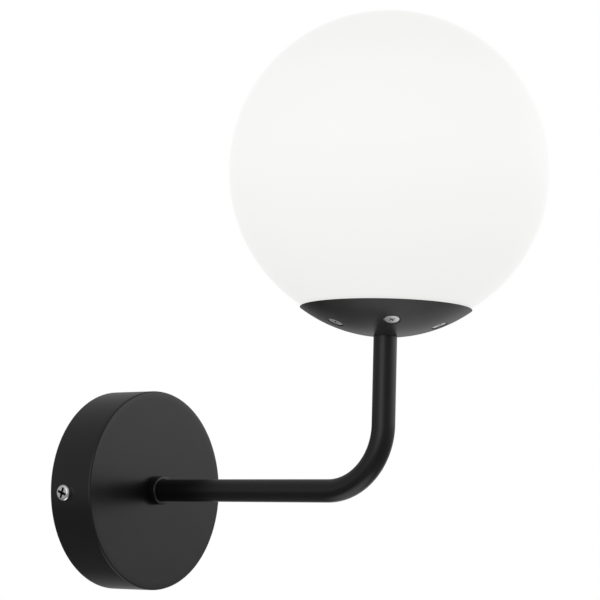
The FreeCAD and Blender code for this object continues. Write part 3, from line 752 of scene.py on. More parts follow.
def carve(piece: Piece, tools: Sequence[Piece],
          operation: str = "DIFFERENCE", sharp: float = 32.0) -> Piece:
    """Cut tools out of a piece and delete the tools.

    Args:
        piece: The piece that is cut.
        tools: The closed shapes to cut with, whose materials stay on the cut.
        operation: DIFFERENCE or INTERSECT.
        sharp: Edges that turn by more than this stay sharp.

    Returns:
        The piece.
    """
    for tool in tools:
        cut = piece.modifiers.new("cut", "BOOLEAN")
        cut.object = tool
        cut.operation = operation
        cut.solver = "EXACT"
        cut.material_mode = "TRANSFER"
    bpy.context.view_layer.update()
    seen = piece.evaluated_get(bpy.context.evaluated_depsgraph_get())
    mesh = bpy.data.meshes.new_from_object(seen)
    piece.modifiers.clear()
    piece.data = smoothed(mesh, sharp)
    for tool in tools:
        bpy.data.objects.remove(tool)
    return piece


def joined(name: str, pieces: Sequence[Piece]) -> Piece:
    """Join separate shapes into one object.

    Args:
        name: Name of the object.
        pieces: The shapes; they are deleted.

    Returns:
        The object.
    """
    bm = bmesh.new()
    for piece in pieces:
        bm.from_mesh(piece.data)
        bpy.data.objects.remove(piece)
    mesh = bpy.data.meshes.new(name)
    bm.to_mesh(mesh)
    bm.free()
    return placed(name, mesh)


def moved_copy(name: str, piece: Piece, place: Matrix) -> Piece:
    """Copy a piece that was made at the origin.

    Args:
        name: Name of the copy.
        piece: The piece.
        place: Where the copy goes, without a change of size.

    Returns:
        The copy.
    """
    mesh = piece.data.copy()
    rigid = place.copy()
    rigid.translation = place.translation * MM
    mesh.transform(rigid)
    return placed(name, mesh)


def place_on(point: Vector, axis: Vector, spin: float = 0.0) -> Matrix:
    """Matrix that takes +Z to an axis at a point, turned about it."""
    turn = axis.to_track_quat("Z", "Y").to_matrix().to_4x4()
    return Matrix.Translation(point) @ turn @ Matrix.Rotation(math.radians(spin), 4, "Z")


def thread(mean: float, depth: float, pitch: float, low: float, high: float,
           round_form: bool = False) -> Radius:
    """Radius of a right-handed thread.

    Args:
        mean: Radius at the middle of the thread.
        depth: Height of the thread.
        pitch: Rise in one turn.
        low: Height where it starts.
        high: Height where it ends.
        round_form: Whether the thread is a smooth wave and not a vee.

    Returns:
        The radius from height and angle.
    """
    def radius(z: float, angle: float) -> float:
        """Radius at one point.

        Args:
            z: Its height.
            angle: Its angle, in radians.

        Returns:
            The radius.
        """
        turn = (z / pitch - angle / (2 * math.pi)) % 1.0
        wave = math.cos(2 * math.pi * turn) if round_form else 4 * abs(turn - 0.5) - 1
        fade = max(0.0, min(1.0, (z - low) / pitch, (high - z) / pitch))
        return mean + depth / 2 * (wave * fade - (1 - fade))
    return radius


def thread_heights(low: float, high: float, pitch: float, steps: int = 8) -> list[float]:
    """Heights of a thread's rings.

    Args:
        low: Height where it starts.
        high: Height where it ends.
        pitch: Rise in one turn.
        steps: Rings in one turn.

    Returns:
        The heights, both ends included.
    """
    count = max(steps, round((high - low) / pitch * steps))
    return [low + (high - low) * k / count for k in range(count + 1)]


@dataclass(frozen=True)
class HexNut:
    """A hexagon nut with chamfered corners and a countersunk bore, drawn along Z.

    Attributes:
        corner: Radius to its corners.
        bore: Radius of its bore.
        face: Radius of its round face, as a share of half its width over the flats.
        drop: Depth of the chamfer, as a share of what the corners stand out.
        flare: Depth of the countersinks.
    """

    corner: float
    bore: float
    face: float = 0.97
    drop: float = 0.55
    flare: float = 0.35

    def make(self, name: str, low: float, high: float, place: Matrix) -> Piece:
        """Make the nut.

        Args:
            name: Name of the piece.
            low: Height of its lower face.
            high: Height of its upper face.
            place: Matrix from the drawing to the frame.

        Returns:
            The nut.
        """
        points = [(self.corner * math.cos(a), self.corner * math.sin(a)) for a in circle(6)]
        nut = loft(name, [(points, low), (points, high)], place)
        flat = self.corner * math.cos(math.pi / 6)
        face, clear = flat * self.face, self.corner * 1.01
        drop = (self.corner - flat) * self.drop
        cone = [(0, low), (face, low), (clear, low + drop), (clear, high - drop), (face, high),
                (0, high)]
        carve(nut, [turned("tool", cone, place, sides=72)], "INTERSECT")
        mouth = self.bore + self.flare + OVERCUT
        hole = [(0, low - OVERCUT), (mouth, low - OVERCUT), (self.bore, low + self.flare),
                (self.bore, high - self.flare), (mouth, high + OVERCUT), (0, high + OVERCUT)]
        return carve(nut, [turned("tool", hole, place, sides=48)])


@dataclass(frozen=True)
class Screw:
    """A small screw with a cross recess, drawn along Z with its head on top.

    Attributes:
        head_radius: Radius of the head.
        head_height: Height of the head.
        shank_radius: Radius over the thread.
        length: Length under the head, or over all if it is sunk.
        sunk: Whether the head is under Z = 0 and narrows to the shank.
        recess: Length of the cross, as a share of the head's width.
        slot_width: Width of its arms.
        pitch: Rise of the thread in one turn.
        finish: Finish of the screw.
        recess_foot: Length of the cross at its bottom, as a share of its top.
        slot_foot: Width of its arms at the bottom, as a share of their top.
        recess_depth: Depth of the cross, as a share of the head's height.
        dome: Rounding of the head's top, as a share of its height.
        edge: Rounding of a sunk head's top.
        rim: Height of a sunk head's straight side.
        thread_depth: Depth of the thread, as a share of its pitch.
    """

    head_radius: float
    head_height: float
    shank_radius: float
    length: float
    sunk: bool = False
    recess: float = 0.70
    slot_width: float = 0.9
    pitch: float = 0.7
    finish: Finish = CHROME
    recess_foot: float = 0.45
    slot_foot: float = 0.7
    recess_depth: float = 0.8
    dome: float = 0.62
    edge: float = 0.12
    rim: float = 0.2
    thread_depth: float = 0.55

    def head(self) -> Piece:
        """Make the head with its recess.

        Returns:
            The head, at the origin.
        """
        r, h = self.head_radius, self.head_height
        if self.sunk:
            corners = [Corner(0, -h), Corner(self.shank_radius, -h), Corner(r, -self.rim, 0.1),
                       Corner(r, 0, self.edge), Corner(0, 0)]
        else:
            corners = [Corner(0, 0), Corner(r, 0, 0.15), Corner(r, h, h * self.dome), Corner(0, h)]
        made = turned("head", softened(corners), AS_DRAWN, sides=48)
        made.data.materials.append(self.finish.material())
        return carve(made, self.recess_tools(0.0 if self.sunk else h))

    def recess_tools(self, top: float) -> list[Piece]:
        """Make the two tapered bars that cut the recess; they leave a dark finish on its faces, for
        grime and painted shade.

        Args:
            top: Height of the head's top.

        Returns:
            The bars.
        """
        reach = self.recess * self.head_radius
        half = self.slot_width / 2
        bottom = top - self.recess_depth * self.head_height
        sections = [(oblong(self.recess_foot * reach, self.slot_foot * half), bottom),
                    (oblong(reach, half), top + 0.1)]
        tools = [loft("tool", sections, Matrix.Rotation(turn, 4, "Z"))
                 for turn in (0.0, math.pi / 2)]
        for tool in tools:
            # grime and painted shade on the recess faces
            tool.data.materials.append(RECESS_GRIME_AND_SHADE.material())
        return tools

    def shank(self) -> Piece:
        """Make the threaded shank.

        Returns:
            The shank, at the origin.
        """
        low, top = -self.length, -self.head_height if self.sunk else 0.0
        depth = self.thread_depth * self.pitch
        radius = thread(self.shank_radius - depth / 2, depth, self.pitch, low, top)
        heights = thread_heights(low, top, self.pitch)
        return ribbed("shank", heights, radius, None, AS_DRAWN, sides=28)


# What the sub-assemblies share
@dataclass
class SubAssembly:
    """A group of pieces on one body."""

    body: str = "fixture"
    reach: float = field(default_factory=lambda: -Span.of("globe").middle.y)

    def at(self, axis: Axis) -> Matrix:
        """Matrix of one of the two axes."""
        return axis.matrix(self.reach)

    def dress(self, node: str, finish: Finish, edge: float = 0.0) -> None:
        """Give a CAD node its finish.

        Args:
            node: The node's name.
            finish: Its finish.
            edge: Width by which its edges are broken; nothing if 0.
        """
        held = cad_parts[node]
        held.data.materials.clear()
        held.data.materials.append(finish.material())
        if edge > 0:
            weld = held.modifiers.new("weld", "WELD")
            weld.merge_threshold = 0.001 * MM
            bevel = held.modifiers.new("edge", "BEVEL")
            bevel.width = edge * MM
            bevel.segments = 2
            bevel.limit_method = "ANGLE"
            bevel.angle_limit = math.radians(50)
            bevel.harden_normals = True
        LOG.info("dressed %s", node)

    def add(self, piece: Piece, finish: Finish, *nodes: str) -> None:
        """Put a new piece on the body in place of CAD nodes.

        Args:
            piece: The new piece.
            finish: Its finish, unless it was made with one.
            nodes: The CAD nodes that it stands for, which are hidden.
        """
        if not any(piece.data.materials):
            piece.data.materials.clear()
            piece.data.materials.append(finish.material())
        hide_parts(*nodes)
        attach(piece, self.body)
        LOG.info("made %s", piece.name)

    def add_screws(self, screw: Screw, node: str, places: dict[str, Matrix]) -> None:
        """Put a screw in several places.

        Args:
            screw: The screw.
            node: The CAD node that they stand for.
            places: Place of each screw, by name.
        """
        parts = {"head": screw.head(), "shank": screw.shank()}
        for name, place in places.items():
            for part, drawn in parts.items():
                self.add(moved_copy(f"{name}_{part}", drawn, place), screw.finish, node)
        for drawn in parts.values():
            bpy.data.objects.remove(drawn)


# Sub-assemblies
SIDES = {"left": -1, "right": 1}
COLLAR_SEAT = 1.5


@dataclass
class Canopy(SubAssembly):
    """Pressed wall canopy with its side screws and the arm's collar."""

    radius: float = 50.0
    wall: float = 1.0
    edge: float = 1.0
    rim_edge: float = 0.25
    hole: float = 5.2
    hole_edge: float = 0.1
    screw_height: float = 9.8
    screw_turn: float = 3.7
    screw_spin: float = 20.0
    screw_hole: float = 2.2
    screw: Screw = Screw(4.0, 2.4, 2.0, 9.0, slot_width=1.35)
    collar_edge: float = 1.35
    collar_play: float = 0.1

    def build(self) -> None:
        """Make its pieces."""
        self.make_shell()
        self.make_screws()
        self.make_collar()

    def screw_place(self, side: int, radius: float, spin: float = 0.0) -> Matrix:
        """Place on one side screw's axis, with +Z out of the canopy.

        Args:
            side: -1 for the left and 1 for the right.
            radius: Distance from the canopy's axis.
            spin: Turn about the screw's axis.

        Returns:
            The matrix.
        """
        turn = math.radians(self.screw_turn)
        way = Vector((side * math.cos(turn), 0, -math.sin(turn)))
        return place_on(Vector((0, -self.screw_height, 0)) + way * radius, way, spin)

    def make_shell(self) -> None:
        """Make the cup with its rounded edge and its three holes."""
        r, w, top = self.radius, self.wall, Span.of("canopy").size.y
        outline = softened([
            Corner(r, 0, self.rim_edge), Corner(r, top, self.edge),
            Corner(self.hole, top, self.hole_edge), Corner(self.hole, top - w),
            Corner(r - w, top - w, self.edge - w), Corner(r - w, 0, self.rim_edge)])
        shell = turned("canopy_shell", finer(outline, longest=3.0), self.at(Axis.ARM), sides=192)
        reach = 4 * w
        drill = rod(self.screw_hole, low=0, high=2 * reach)
        tools = [turned("tool", drill, self.screw_place(side, r - reach), sides=32)
                 for side in SIDES.values()]
        self.add(carve(shell, tools), ENAMEL, "canopy")

    def make_screws(self) -> None:
        """Make the two side screws."""
        self.add_screws(self.screw, "canopy_side_screws", {
            f"side_screw_{word}": self.screw_place(side, self.radius, self.screw_spin * side)
            for word, side in SIDES.items()})

    def make_collar(self) -> None:
        """Make the collar round the foot of the arm."""
        span = Span.of("arm_collar")
        low, top = -span.high.y, -span.low.y
        socket, seat = Span.of("arm_tube").radius + self.collar_play, low + COLLAR_SEAT
        outline = softened([
            Corner(self.hole, low), Corner(span.radius, low, self.rim_edge),
            Corner(span.radius, top, self.collar_edge), Corner(socket, top, self.hole_edge),
            Corner(socket, seat), Corner(self.hole, seat)])
        self.add(turned("arm_collar_ring", outline, self.at(Axis.ARM)), ENAMEL, "arm_collar")


@dataclass
class WallBracket(SubAssembly):
    """Zinc-plated strap with its earth stud."""

    nut_bore: float = 2.05

    def build(self) -> None:
        """Make and dress its pieces."""
        self.dress("wall_bracket", ZINC, 0.2)
        self.dress("bracket_earth_stud", BRASS)
        self.dress("bracket_earth_washer", BRASS, 0.12)
        span = Span.of("bracket_earth_nut")
        place = self.at(Axis.ARM) @ Matrix.Translation((span.middle.x, span.middle.z, 0))
        nut = HexNut(span.radius, self.nut_bore)
        self.add(nut.make("earth_nut", -span.high.y, -span.low.y, place), BRASS,
                 "bracket_earth_nut")


@dataclass
class Arm(SubAssembly):
    """Bent tube with threaded ends, and what clamps it to the canopy."""

    bend: float = 31.0
    bend_steps: int = 45
    wall: float = 1.5
    thread_radius: float = 5.0
    thread_depth: float = 0.6
    nut_play: float = 0.05
    pitch: float = 1.0
    rise: float = field(default_factory=lambda: Span.of("dish").low.z)
    shoulder: float = field(default_factory=lambda: -Span.of("arm_collar").high.y + COLLAR_SEAT)
    tube: Span = field(default_factory=lambda: Span.of("arm_tube"))

    def build(self) -> None:
        """Make and dress its pieces."""
        self.make_tube()
        self.make_threads()
        self.dress("wire_bushes", NYLON, 0.1)
        self.dress("earth_tag", BRASS, 0.1)
        self.dress("canopy_lock_washer", ZINC, 0.1)
        span = Span.of("canopy_nut")
        nut = HexNut(span.radius, self.thread_radius + self.nut_play)
        self.add(nut.make("canopy_nut_hex", -span.high.y, -span.low.y, self.at(Axis.ARM)), ZINC,
                 "canopy_nut")

    def make_tube(self) -> None:
        """Make the painted tube between its shoulders."""
        middle = Vector((0, -(self.reach - self.bend), self.bend))
        angles = [math.pi / 2 * k / self.bend_steps for k in range(self.bend_steps + 1)]
        path = [Vector((0, -self.shoulder, 0)),
                *(middle + self.bend * Vector((0, -math.sin(a), -math.cos(a))) for a in angles),
                Vector((0, -self.reach, self.rise))]
        radius = self.tube.radius
        tube = piped("arm_tube_painted", path, radius, radius - self.wall, sides=72)
        self.add(tube, ENAMEL, "arm_tube")

    def make_threads(self) -> None:
        """Make the turned-down threads at both ends."""
        bore = self.tube.radius - self.wall
        mean = self.thread_radius - self.thread_depth / 2
        for name, low, high, axis in (
                ("arm_thread_rear", -self.tube.high.y, self.shoulder, Axis.ARM),
                ("arm_thread_top", self.rise, self.tube.high.z, Axis.GLOBE)):
            radius = thread(mean, self.thread_depth, self.pitch, low, high)
            heights = thread_heights(low, high, self.pitch)
            made = ribbed(name, heights, radius, lambda z, a: bore, self.at(axis), sides=64)
            self.add(made, ZINC, "arm_tube")


@dataclass
class TerminalBlock(SubAssembly):
    """Moulded block with brass poles and slotted screws."""

    screw_radius: float = 1.45
    screw_edge: float = 0.2
    slot_width: float = 0.6
    slot_depth: float = 0.7
    fixing_screw: Screw = Screw(2.3, 1.6, 1.45, 5.8, slot_width=0.7, pitch=0.5, finish=ZINC)
    fixing_spin: float = 25.0

    def build(self) -> None:
        """Make and dress its pieces."""
        self.dress("terminal_block", NYLON, 0.25)
        self.dress("terminal_inserts", BRASS, 0.08)
        self.make_clamping_screws()
        self.make_fixing_screws()

    def make_clamping_screws(self) -> None:
        """Make the headless slotted screws, each turned its own way."""
        span = Span.of("terminal_screws")
        radius, low, high = self.screw_radius, -span.high.y, -span.low.y
        outline = softened([Corner(0, low), Corner(radius, low),
                            Corner(radius, high, self.screw_edge), Corner(0, high)], step=20.0)
        bar = oblong(2 * radius, self.slot_width / 2)
        for i, x in enumerate((span.low.x + radius, span.middle.x, span.high.x - radius)):
            for j, z in enumerate((span.low.z + radius, span.high.z - radius)):
                turn = Matrix.Rotation(0.5 * i + j, 4, "Z")
                place = self.at(Axis.ARM) @ Matrix.Translation((x, z, 0)) @ turn
                screw = turned(f"clamping_screw_{i}{j}", outline, place, sides=36)
                slot = loft("tool", [(bar, high - self.slot_depth), (bar, high + OVERCUT)], place)
                self.add(carve(screw, [slot]), ZINC, "terminal_screws")

    def make_fixing_screws(self) -> None:
        """Make the heads of the two screws that hold the block."""
        span = Span.of("terminal_block_screws")
        drawn = self.fixing_screw
        head = drawn.head()
        for word, side in SIDES.items():
            point = Vector((side * (span.high.x - drawn.head_radius),
                            span.low.y + drawn.head_height, span.middle.z))
            place = place_on(point, Vector((0, -1, 0)), self.fixing_spin * side)
            self.add(moved_copy(f"block_screw_{word}", head, place), ZINC, "terminal_block_screws")
        bpy.data.objects.remove(head)


@dataclass
class Wiring(SubAssembly):
    """The three leads."""

    def build(self) -> None:
        """Dress them."""
        self.dress("live_lead", BROWN_LEAD)
        self.dress("neutral_lead", BLUE_LEAD)
        self.dress("earth_lead", EARTH_LEAD)


@dataclass
class Dish(SubAssembly):
    """Spun dish with the inner cup, its screws, clips, gasket and nut.

    Depths of the screws and of the cutter for their windows are square to the dish's surface.
    The cutter's outline is given as distance out from the window's radius, and height.
    """

    wall: float = 0.8
    arc_steps: int = 28
    lip: float = 0.2
    seat_radius: float = 6.5
    hole: float = 5.2
    nut_bore: float = 5.05
    screw_radius: float = 25.8
    screw_angle: float = -49.0
    screw_count: int = 5
    screw_spin: tuple[float, float] = (35.0, 17.0)
    window: float = 3.95
    cutter: Pairs = ((-0.05, -3.0), (-0.05, -0.25), (0.35, 0.15), (0.35, 1.5))
    head_sink: float = 0.45
    screw: Screw = Screw(3.5, 1.5, 2.0, 7.55, sunk=True, slot_width=0.6, recess=0.46,
                         finish=NICKEL)
    clip_nut: HexNut = HexNut(3.5 / math.cos(math.pi / 6), 2.05)
    clip_nut_depth: float = 3.85
    clip_nut_height: float = 2.2

    def build(self) -> None:
        """Make and dress its pieces."""
        self.make_dish()
        self.make_screws()
        self.dress("globe_carrier", ZINC, 0.12)
        self.dress("globe_clips", ZINC, 0.06)
        self.dress("globe_gasket", SILICONE)
        self.dress("dish_lock_washer", ZINC, 0.1)
        self.make_nuts()

    @property
    def curve(self) -> tuple[float, float]:
        """The dish's outer sphere.

        Returns:
            Its radius and the height of its centre.
        """
        span = Span.of("dish")
        depth = span.size.z
        rise = (span.radius**2 + depth**2 - self.seat_radius**2) / (2 * depth)
        return math.hypot(rise, self.seat_radius), span.low.z + rise

    def screw_place(self, index: int) -> Matrix:
        """Place of one screw.

        Args:
            index: Number of the screw, from 0.

        Returns:
            The matrix to the dish's surface, with +Z out of the dish.
        """
        radius, centre = self.curve
        tilt = math.asin(self.screw_radius / radius)
        angle = math.radians(-90 + self.screw_angle + index * 360 / self.screw_count)
        out = Vector((math.cos(angle) * math.sin(tilt), math.sin(angle) * math.sin(tilt),
                      -math.cos(tilt)))
        first, more = self.screw_spin
        return place_on(Vector((0, -self.reach, centre)) + out * radius, out, first + more * index)

    def make_dish(self) -> None:
        """Make the shell with its round windows."""
        radius, centre = self.curve
        inner = radius - self.wall
        span = Span.of("dish")
        rim, seat = span.high.z, span.low.z

        def below(sphere: float, height: float) -> float:
            """Angle of a height on a sphere about the centre."""
            return -math.degrees(math.asin((centre - height) / sphere))

        start = -math.degrees(math.acos(self.seat_radius / radius))
        end = below(radius, rim)
        crest = (radius + inner) / 2 * math.cos(math.radians(end))
        outline = [
            (self.hole, seat),
            *sphere_arc(radius, centre, start, end - self.lip, self.arc_steps),
            (crest, rim),
            *sphere_arc(inner, centre, below(inner, rim) - self.lip,
                        below(inner, seat + self.wall), self.arc_steps),
            (self.hole, seat + self.wall)]
        shell = turned("dish_shell", outline, self.at(Axis.GLOBE), sides=192)
        cutter = [(self.window + out, height) for out, height in self.cutter]
        cutter = [(0.0, cutter[0][1]), *cutter, (0.0, cutter[-1][1])]
        tools = [turned("tool", cutter, self.screw_place(i), sides=48)
                 for i in range(self.screw_count)]
        # painted light: the dish gets the lighter copy of the black enamel
        self.add(carve(shell, tools, sharp=28.0), DISH_ENAMEL_PAINTED_LIGHT, "dish")

    def make_screws(self) -> None:
        """Make the screws in the dish's windows."""
        sink = Matrix.Translation((0, 0, -self.head_sink))
        self.add_screws(self.screw, "dish_screws", {
            f"dish_screw_{i + 1}": self.screw_place(i) @ sink for i in range(self.screw_count)})

    def make_nuts(self) -> None:
        """Make the big nut and the small ones on the clips."""
        span = Span.of("dish_nut")
        big = HexNut(span.radius, self.nut_bore)
        self.add(big.make("dish_nut_hex", span.low.z, span.high.z, self.at(Axis.GLOBE)), ZINC,
                 "dish_nut")
        top = -self.clip_nut_depth
        for i in range(self.screw_count):
            nut = self.clip_nut.make(f"clip_nut_{i + 1}", top - self.clip_nut_height, top,
                                     self.screw_place(i))
            self.add(nut, ZINC, "clip_nuts")


@dataclass
class ScrewFitting(SubAssembly):
    """What the lampholder and the bulb's cap share: the round thread of 27 mm."""

    pitch: float = 3.62
    thread_depth: float = 1.0


@dataclass
class Lampholder(ScrewFitting):
    """Holder for the bulb: cap, porcelain insert, skirt, threaded shell and contact."""

    skirt_wall: float = 2.0
    flange_width: float = 1.5
    flange_height: float = 3.0
    flange_edge: float = 0.3
    mouth: float = 14.2
    mouth_edge: float = 0.5
    top_edge: float = 1.5
    insert_play: float = 0.1
    grip_ribs: int = 40
    grip_depth: float = 0.35
    grip_offset: float = 0.55
    shell_wall: float = 0.5
    shell_floor: tuple[float, float] = (9.8, 13.2)

    def build(self) -> None:
        """Make and dress its pieces."""
        self.dress("lampholder_cap", BAKELITE, 0.25)
        self.dress("lampholder_insert", PORCELAIN, 0.3)
        self.dress("lampholder_posts", BRASS, 0.1)
        self.dress("centre_contact", BRONZE)
        self.make_skirt()
        self.make_shell()

    def make_skirt(self) -> None:
        """Make the skirt with its flange and grip ribs."""
        span = Span.of("lampholder_skirt")
        low, top, flange, edge = span.low.z, span.high.z, span.radius, self.flange_edge
        body, step = flange - self.flange_width, low + self.flange_height
        inner, mouth = body - self.skirt_wall, self.mouth
        shelf = Span.of("lampholder_insert").high.z + self.insert_play
        outline = softened([
            Corner(inner, low), Corner(flange, low, edge), Corner(flange, step, edge),
            Corner(body, step, edge), Corner(body, top, self.top_edge),
            Corner(mouth, top, self.mouth_edge), Corner(mouth, shelf), Corner(inner, shelf)],
            step=12.0)
        skirt = turned("skirt_moulding", outline, self.at(Axis.GLOBE), sides=120)
        groove = rod(self.grip_depth + self.grip_offset, -OVERCUT, self.flange_height + OVERCUT)
        ring = flange + self.grip_offset
        tools = []
        for a in circle(self.grip_ribs):
            point = (ring * math.cos(a), ring * math.sin(a) - self.reach, low)
            tools.append(turned("tool", groove, Matrix.Translation(point), sides=12))
        self.add(carve(skirt, [joined("tool", tools)], sharp=28.0), BAKELITE, "lampholder_skirt")

    def make_shell(self) -> None:
        """Make the threaded brass shell and its floor."""
        span = Span.of("screw_shell")
        low, top, wall = span.low.z, span.high.z, self.shell_wall
        wave = thread(span.radius - self.thread_depth / 2, self.thread_depth, self.pitch, low, top,
                      round_form=True)
        heights = thread_heights(low, top, self.pitch, steps=14)
        self.add(ribbed("shell_thread", heights, wave, lambda z, a: wave(z, a) - wall,
                        self.at(Axis.GLOBE)), BRASS, "screw_shell")
        inner, outer = self.shell_floor
        floor = [(inner, low), (outer, low), (outer, low + wall), (inner, low + wall)]
        self.add(turned("shell_floor", floor, self.at(Axis.GLOBE)), BRASS, "screw_shell")


@dataclass
class Bulb(ScrewFitting):
    """Frosted round bulb with its threaded cap."""

    body: str = "bulb"
    wall: float = 0.4
    taper: float = 2.0
    taper_slope: float = 0.5
    plain: float = 4.5
    roll: float = 1.0

    def build(self) -> None:
        """Make and dress its pieces."""
        self.dress("bulb_glass", FROSTED)
        self.dress("bulb_insulator", BLACK_GLASS)
        self.dress("bulb_tip", SOLDER)
        self.make_cap()

    def make_cap(self) -> None:
        """Make the rolled screw cap: a tapered foot, the thread and a plain top."""
        span = Span.of("bulb_cap")
        outer, depth = span.radius, self.thread_depth
        foot, neck = span.low.z + self.taper, span.high.z - self.plain
        wave = thread(outer - depth / 2, depth, self.pitch, foot, neck, round_form=True)

        def outside(z: float, angle: float) -> float:
            """Outer radius at one point.

            Args:
                z: Its height.
                angle: Its angle, in radians.

            Returns:
                The radius.
            """
            if z < foot:
                return outer - depth - (foot - z) * self.taper_slope
            if z > neck:
                return outer - depth * (1 - min(1.0, (z - neck) / self.roll))
            return wave(z, angle)

        heights = thread_heights(span.low.z, span.high.z, self.pitch, steps=16)
        self.add(ribbed("bulb_cap_thread", heights, outside, lambda z, a: outside(z, a) - self.wall,
                        self.at(Axis.GLOBE)), BULB_METAL, "bulb_cap")


@dataclass
class Globe(SubAssembly):
    """Blown opal ball.

    Its outside stops at a distance out from the opening, and its inside at an angle short of it.
    The edge between them is given as distance out from the opening, and height over its foot.
    """

    body: str = "globe"
    wall: float = 2.5
    outer_stop: float = 0.54
    inner_stop: float = 0.9
    edge: Pairs = ((0.35, 0.45), (0.08, 0.9), (0.0, 1.5))
    arc_steps: int = 110

    def build(self) -> None:
        """Make the ball with its ground and rounded opening."""
        span = Span.of("globe")
        outer = span.size.y / 2
        inner = outer - self.wall
        centre, low = span.high.z - outer, span.low.z
        opening = math.sqrt(outer**2 - (centre - low)**2)
        start = -math.degrees(math.acos((opening + self.outer_stop) / outer))
        end = -math.degrees(math.acos((opening + 0.02) / inner)) + self.inner_stop
        outside = sphere_arc(outer, centre, start, 90, self.arc_steps)
        outside[-1] = (0.0, centre + outer)
        inside = sphere_arc(inner, centre, 90, end, self.arc_steps)
        inside[0] = (0.0, centre + inner)
        edge = [(opening + out, low + up) for out, up in self.edge]
        edge.append((opening + 0.05, inside[-1][1] - 0.3))
        outline = outside + inside + edge
        self.add(turned("globe_glass", outline, self.at(Axis.GLOBE), sides=192), OPAL, "globe")


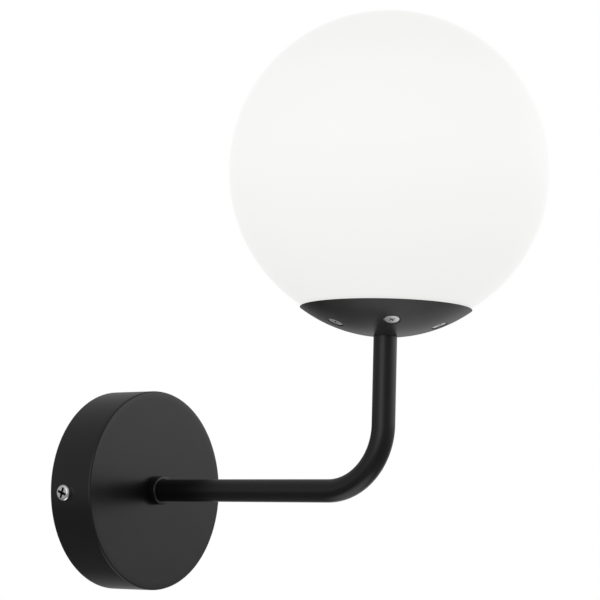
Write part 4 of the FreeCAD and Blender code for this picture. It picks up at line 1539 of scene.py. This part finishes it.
# Studio
@dataclass
class Studio:
    """Camera, soft light, pale floor and a white surround.

    The surround's panels are rings of brightness by the angle from the camera's side, in bands of
    height: below the object, level with it and above it. The last two share their middle.
    """

    azimuth: float = -52.895
    elevation: float = -6.908
    roll: float = 1.531
    lens: float = 127.03
    distance: float = 1037.03
    aim: Point = (0.0, -90.0, 60.0)
    shift: tuple[float, float] = (19.40, 33.20)
    floor_height: float = -420.0
    floor_radius: float = 3000.0
    floor_depth: float = 20.0
    ground: Pairs = (
        (-180, 0.55), (-172, 0.20), (-150, 0.10), (-104, 0.13), (-60, 0.16), (-30, 0.22),
        (10, 0.18), (45, 0.20), (80, 0.22), (120, 0.24), (148, 0.42), (180, 0.55))
    middle: Pairs = (
        (-180, 0.26), (-150, 0.20), (-104, 0.28), (-75, 0.30), (-53, 0.55), (-36, 0.95),
        (-24, 0.95), (-10, 0.55), (8, 0.25), (50, 0.25))
    level: Pairs = ((68, 0.35), (92, 0.42), (131, 0.42), (160, 0.30), (180, 0.26))
    upper: Pairs = ((68, 0.7), (92, 1.15), (122, 1.15), (150, 0.35), (180, 0.26))
    bands: Pairs = ((-0.97, -0.82), (-0.3, -0.05), (0.02, 0.14))
    ceiling_band: tuple[float, float] = (0.35, 0.8)
    panel_power: float = 1.3
    floor_glow: float = 0.85
    ceiling: float = 0.30
    lamps: tuple[tuple[str, Point, float], ...] = (
        ("front", (-900, -1100, 300), 3.5), ("left", (-1200, 300, 300), 2.0))
    lamp_aim: Point = (0, -164, 150)
    lamp_size: float = 900

    def build(self) -> None:
        """Set up everything round the light."""
        self.make_camera()
        self.make_floor()
        self.make_world()
        self.make_lamps()
        bpy.context.scene.view_settings.view_transform = "Standard"

    def make_camera(self) -> None:
        """Place the camera where the photograph was taken."""
        a, e, roll = (math.radians(x) for x in (self.azimuth, self.elevation, self.roll))
        back = Vector((math.sin(a) * math.cos(e), -math.cos(a) * math.cos(e), math.sin(e)))
        level = Vector((math.cos(a), math.sin(a), 0))
        upright = back.cross(level)
        right = math.cos(roll) * level + math.sin(roll) * upright
        up = math.cos(roll) * upright - math.sin(roll) * level
        eye = (Vector(self.aim) + self.shift[0] * right + self.shift[1] * up
               + self.distance * back)
        data = bpy.data.cameras.new("camera")
        data.lens = self.lens
        data.sensor_width = 36.0
        data.clip_start = 0.02
        camera = placed("camera", data)
        axes = Matrix((right, up, back)).transposed().to_4x4()
        camera.matrix_world = Matrix.Translation(eye * MM) @ axes
        bpy.context.scene.camera = camera

    def make_floor(self) -> None:
        """Lay a pale floor well below the light, which doesn't show in the gloss."""
        outline = rod(self.floor_radius, -self.floor_depth, 0)
        floor = turned("floor", outline, Matrix.Translation((0, 0, self.floor_height)))
        floor.data.materials.append(FLOOR.material())
        floor.visible_glossy = False

    def make_world(self) -> None:
        """Surround it with white for the camera and with soft panels of light for the object."""
        world = bpy.data.worlds.new("surround")
        world.use_nodes = True
        bpy.context.scene.world = world
        board = Board(world.node_tree)
        way = board.make("ShaderNodeTexCoord", output="Generated")
        turn = math.radians(self.azimuth)
        toward = board.dot(way, (math.sin(turn), -math.cos(turn), 0))
        across = board.dot(way, (math.cos(turn), math.sin(turn), 0))
        angle = board.make("ShaderNodeMath", {"operation": "ARCTAN2"}, {0: across, 1: toward})
        share = angle * (0.5 / math.pi) + 0.5
        height = board.dot(way, (0, 0, 1))
        shade: Value | Colour = (self.floor_glow,) * 3
        rings = (self.ground, self.middle + self.level, self.middle + self.upper)
        for (low, high), panels in zip(self.bands, rings):
            stops = [(0.5 + degrees / 360, (bright,) * 3) for degrees, bright in panels]
            ring = board.make("ShaderNodeValToRGB", {"stops": stops}, {0: share})
            shade = board.blend(board.span(height, low, high), shade, ring)
        shade = board.blend(board.span(height, *self.ceiling_band), shade, (self.ceiling,) * 3)
        seen = board.make("ShaderNodeLightPath", output="Is Camera Ray")
        light = board.make("ShaderNodeBackground", {},
                           {"Color": shade, "Strength": self.panel_power})
        white = board.make("ShaderNodeBackground", {}, {"Color": opaque(EVEN), "Strength": 1.0})
        mixed = board.make("ShaderNodeMixShader", {}, {0: seen, 1: light, 2: white})
        board.node("ShaderNodeOutputWorld", {}, {"Surface": mixed})

    def make_lamps(self) -> None:
        """Hang soft lamps that fill in without showing in the gloss."""
        for name, place, watts in self.lamps:
            data = bpy.data.lights.new(name, "AREA")
            data.size = self.lamp_size * MM
            data.energy = watts
            lamp = placed(name, data)
            lamp.visible_glossy = False
            way = Vector(self.lamp_aim) - Vector(place)
            turn = way.to_track_quat("-Z", "Y").to_matrix().to_4x4()
            lamp.matrix_world = Matrix.Translation(Vector(place) * MM) @ turn


def main() -> None:
    """Build the sub-assemblies and the studio."""
    logging.basicConfig(level=logging.INFO, format="%(name)s: %(message)s")
    for kind in (Canopy, WallBracket, Arm, TerminalBlock, Wiring, Dish, Lampholder, Bulb, Globe):
        kind().build()
        LOG.info("%s is complete", kind.__name__)
    Studio().build()


if __name__ == "__main__":
    main()
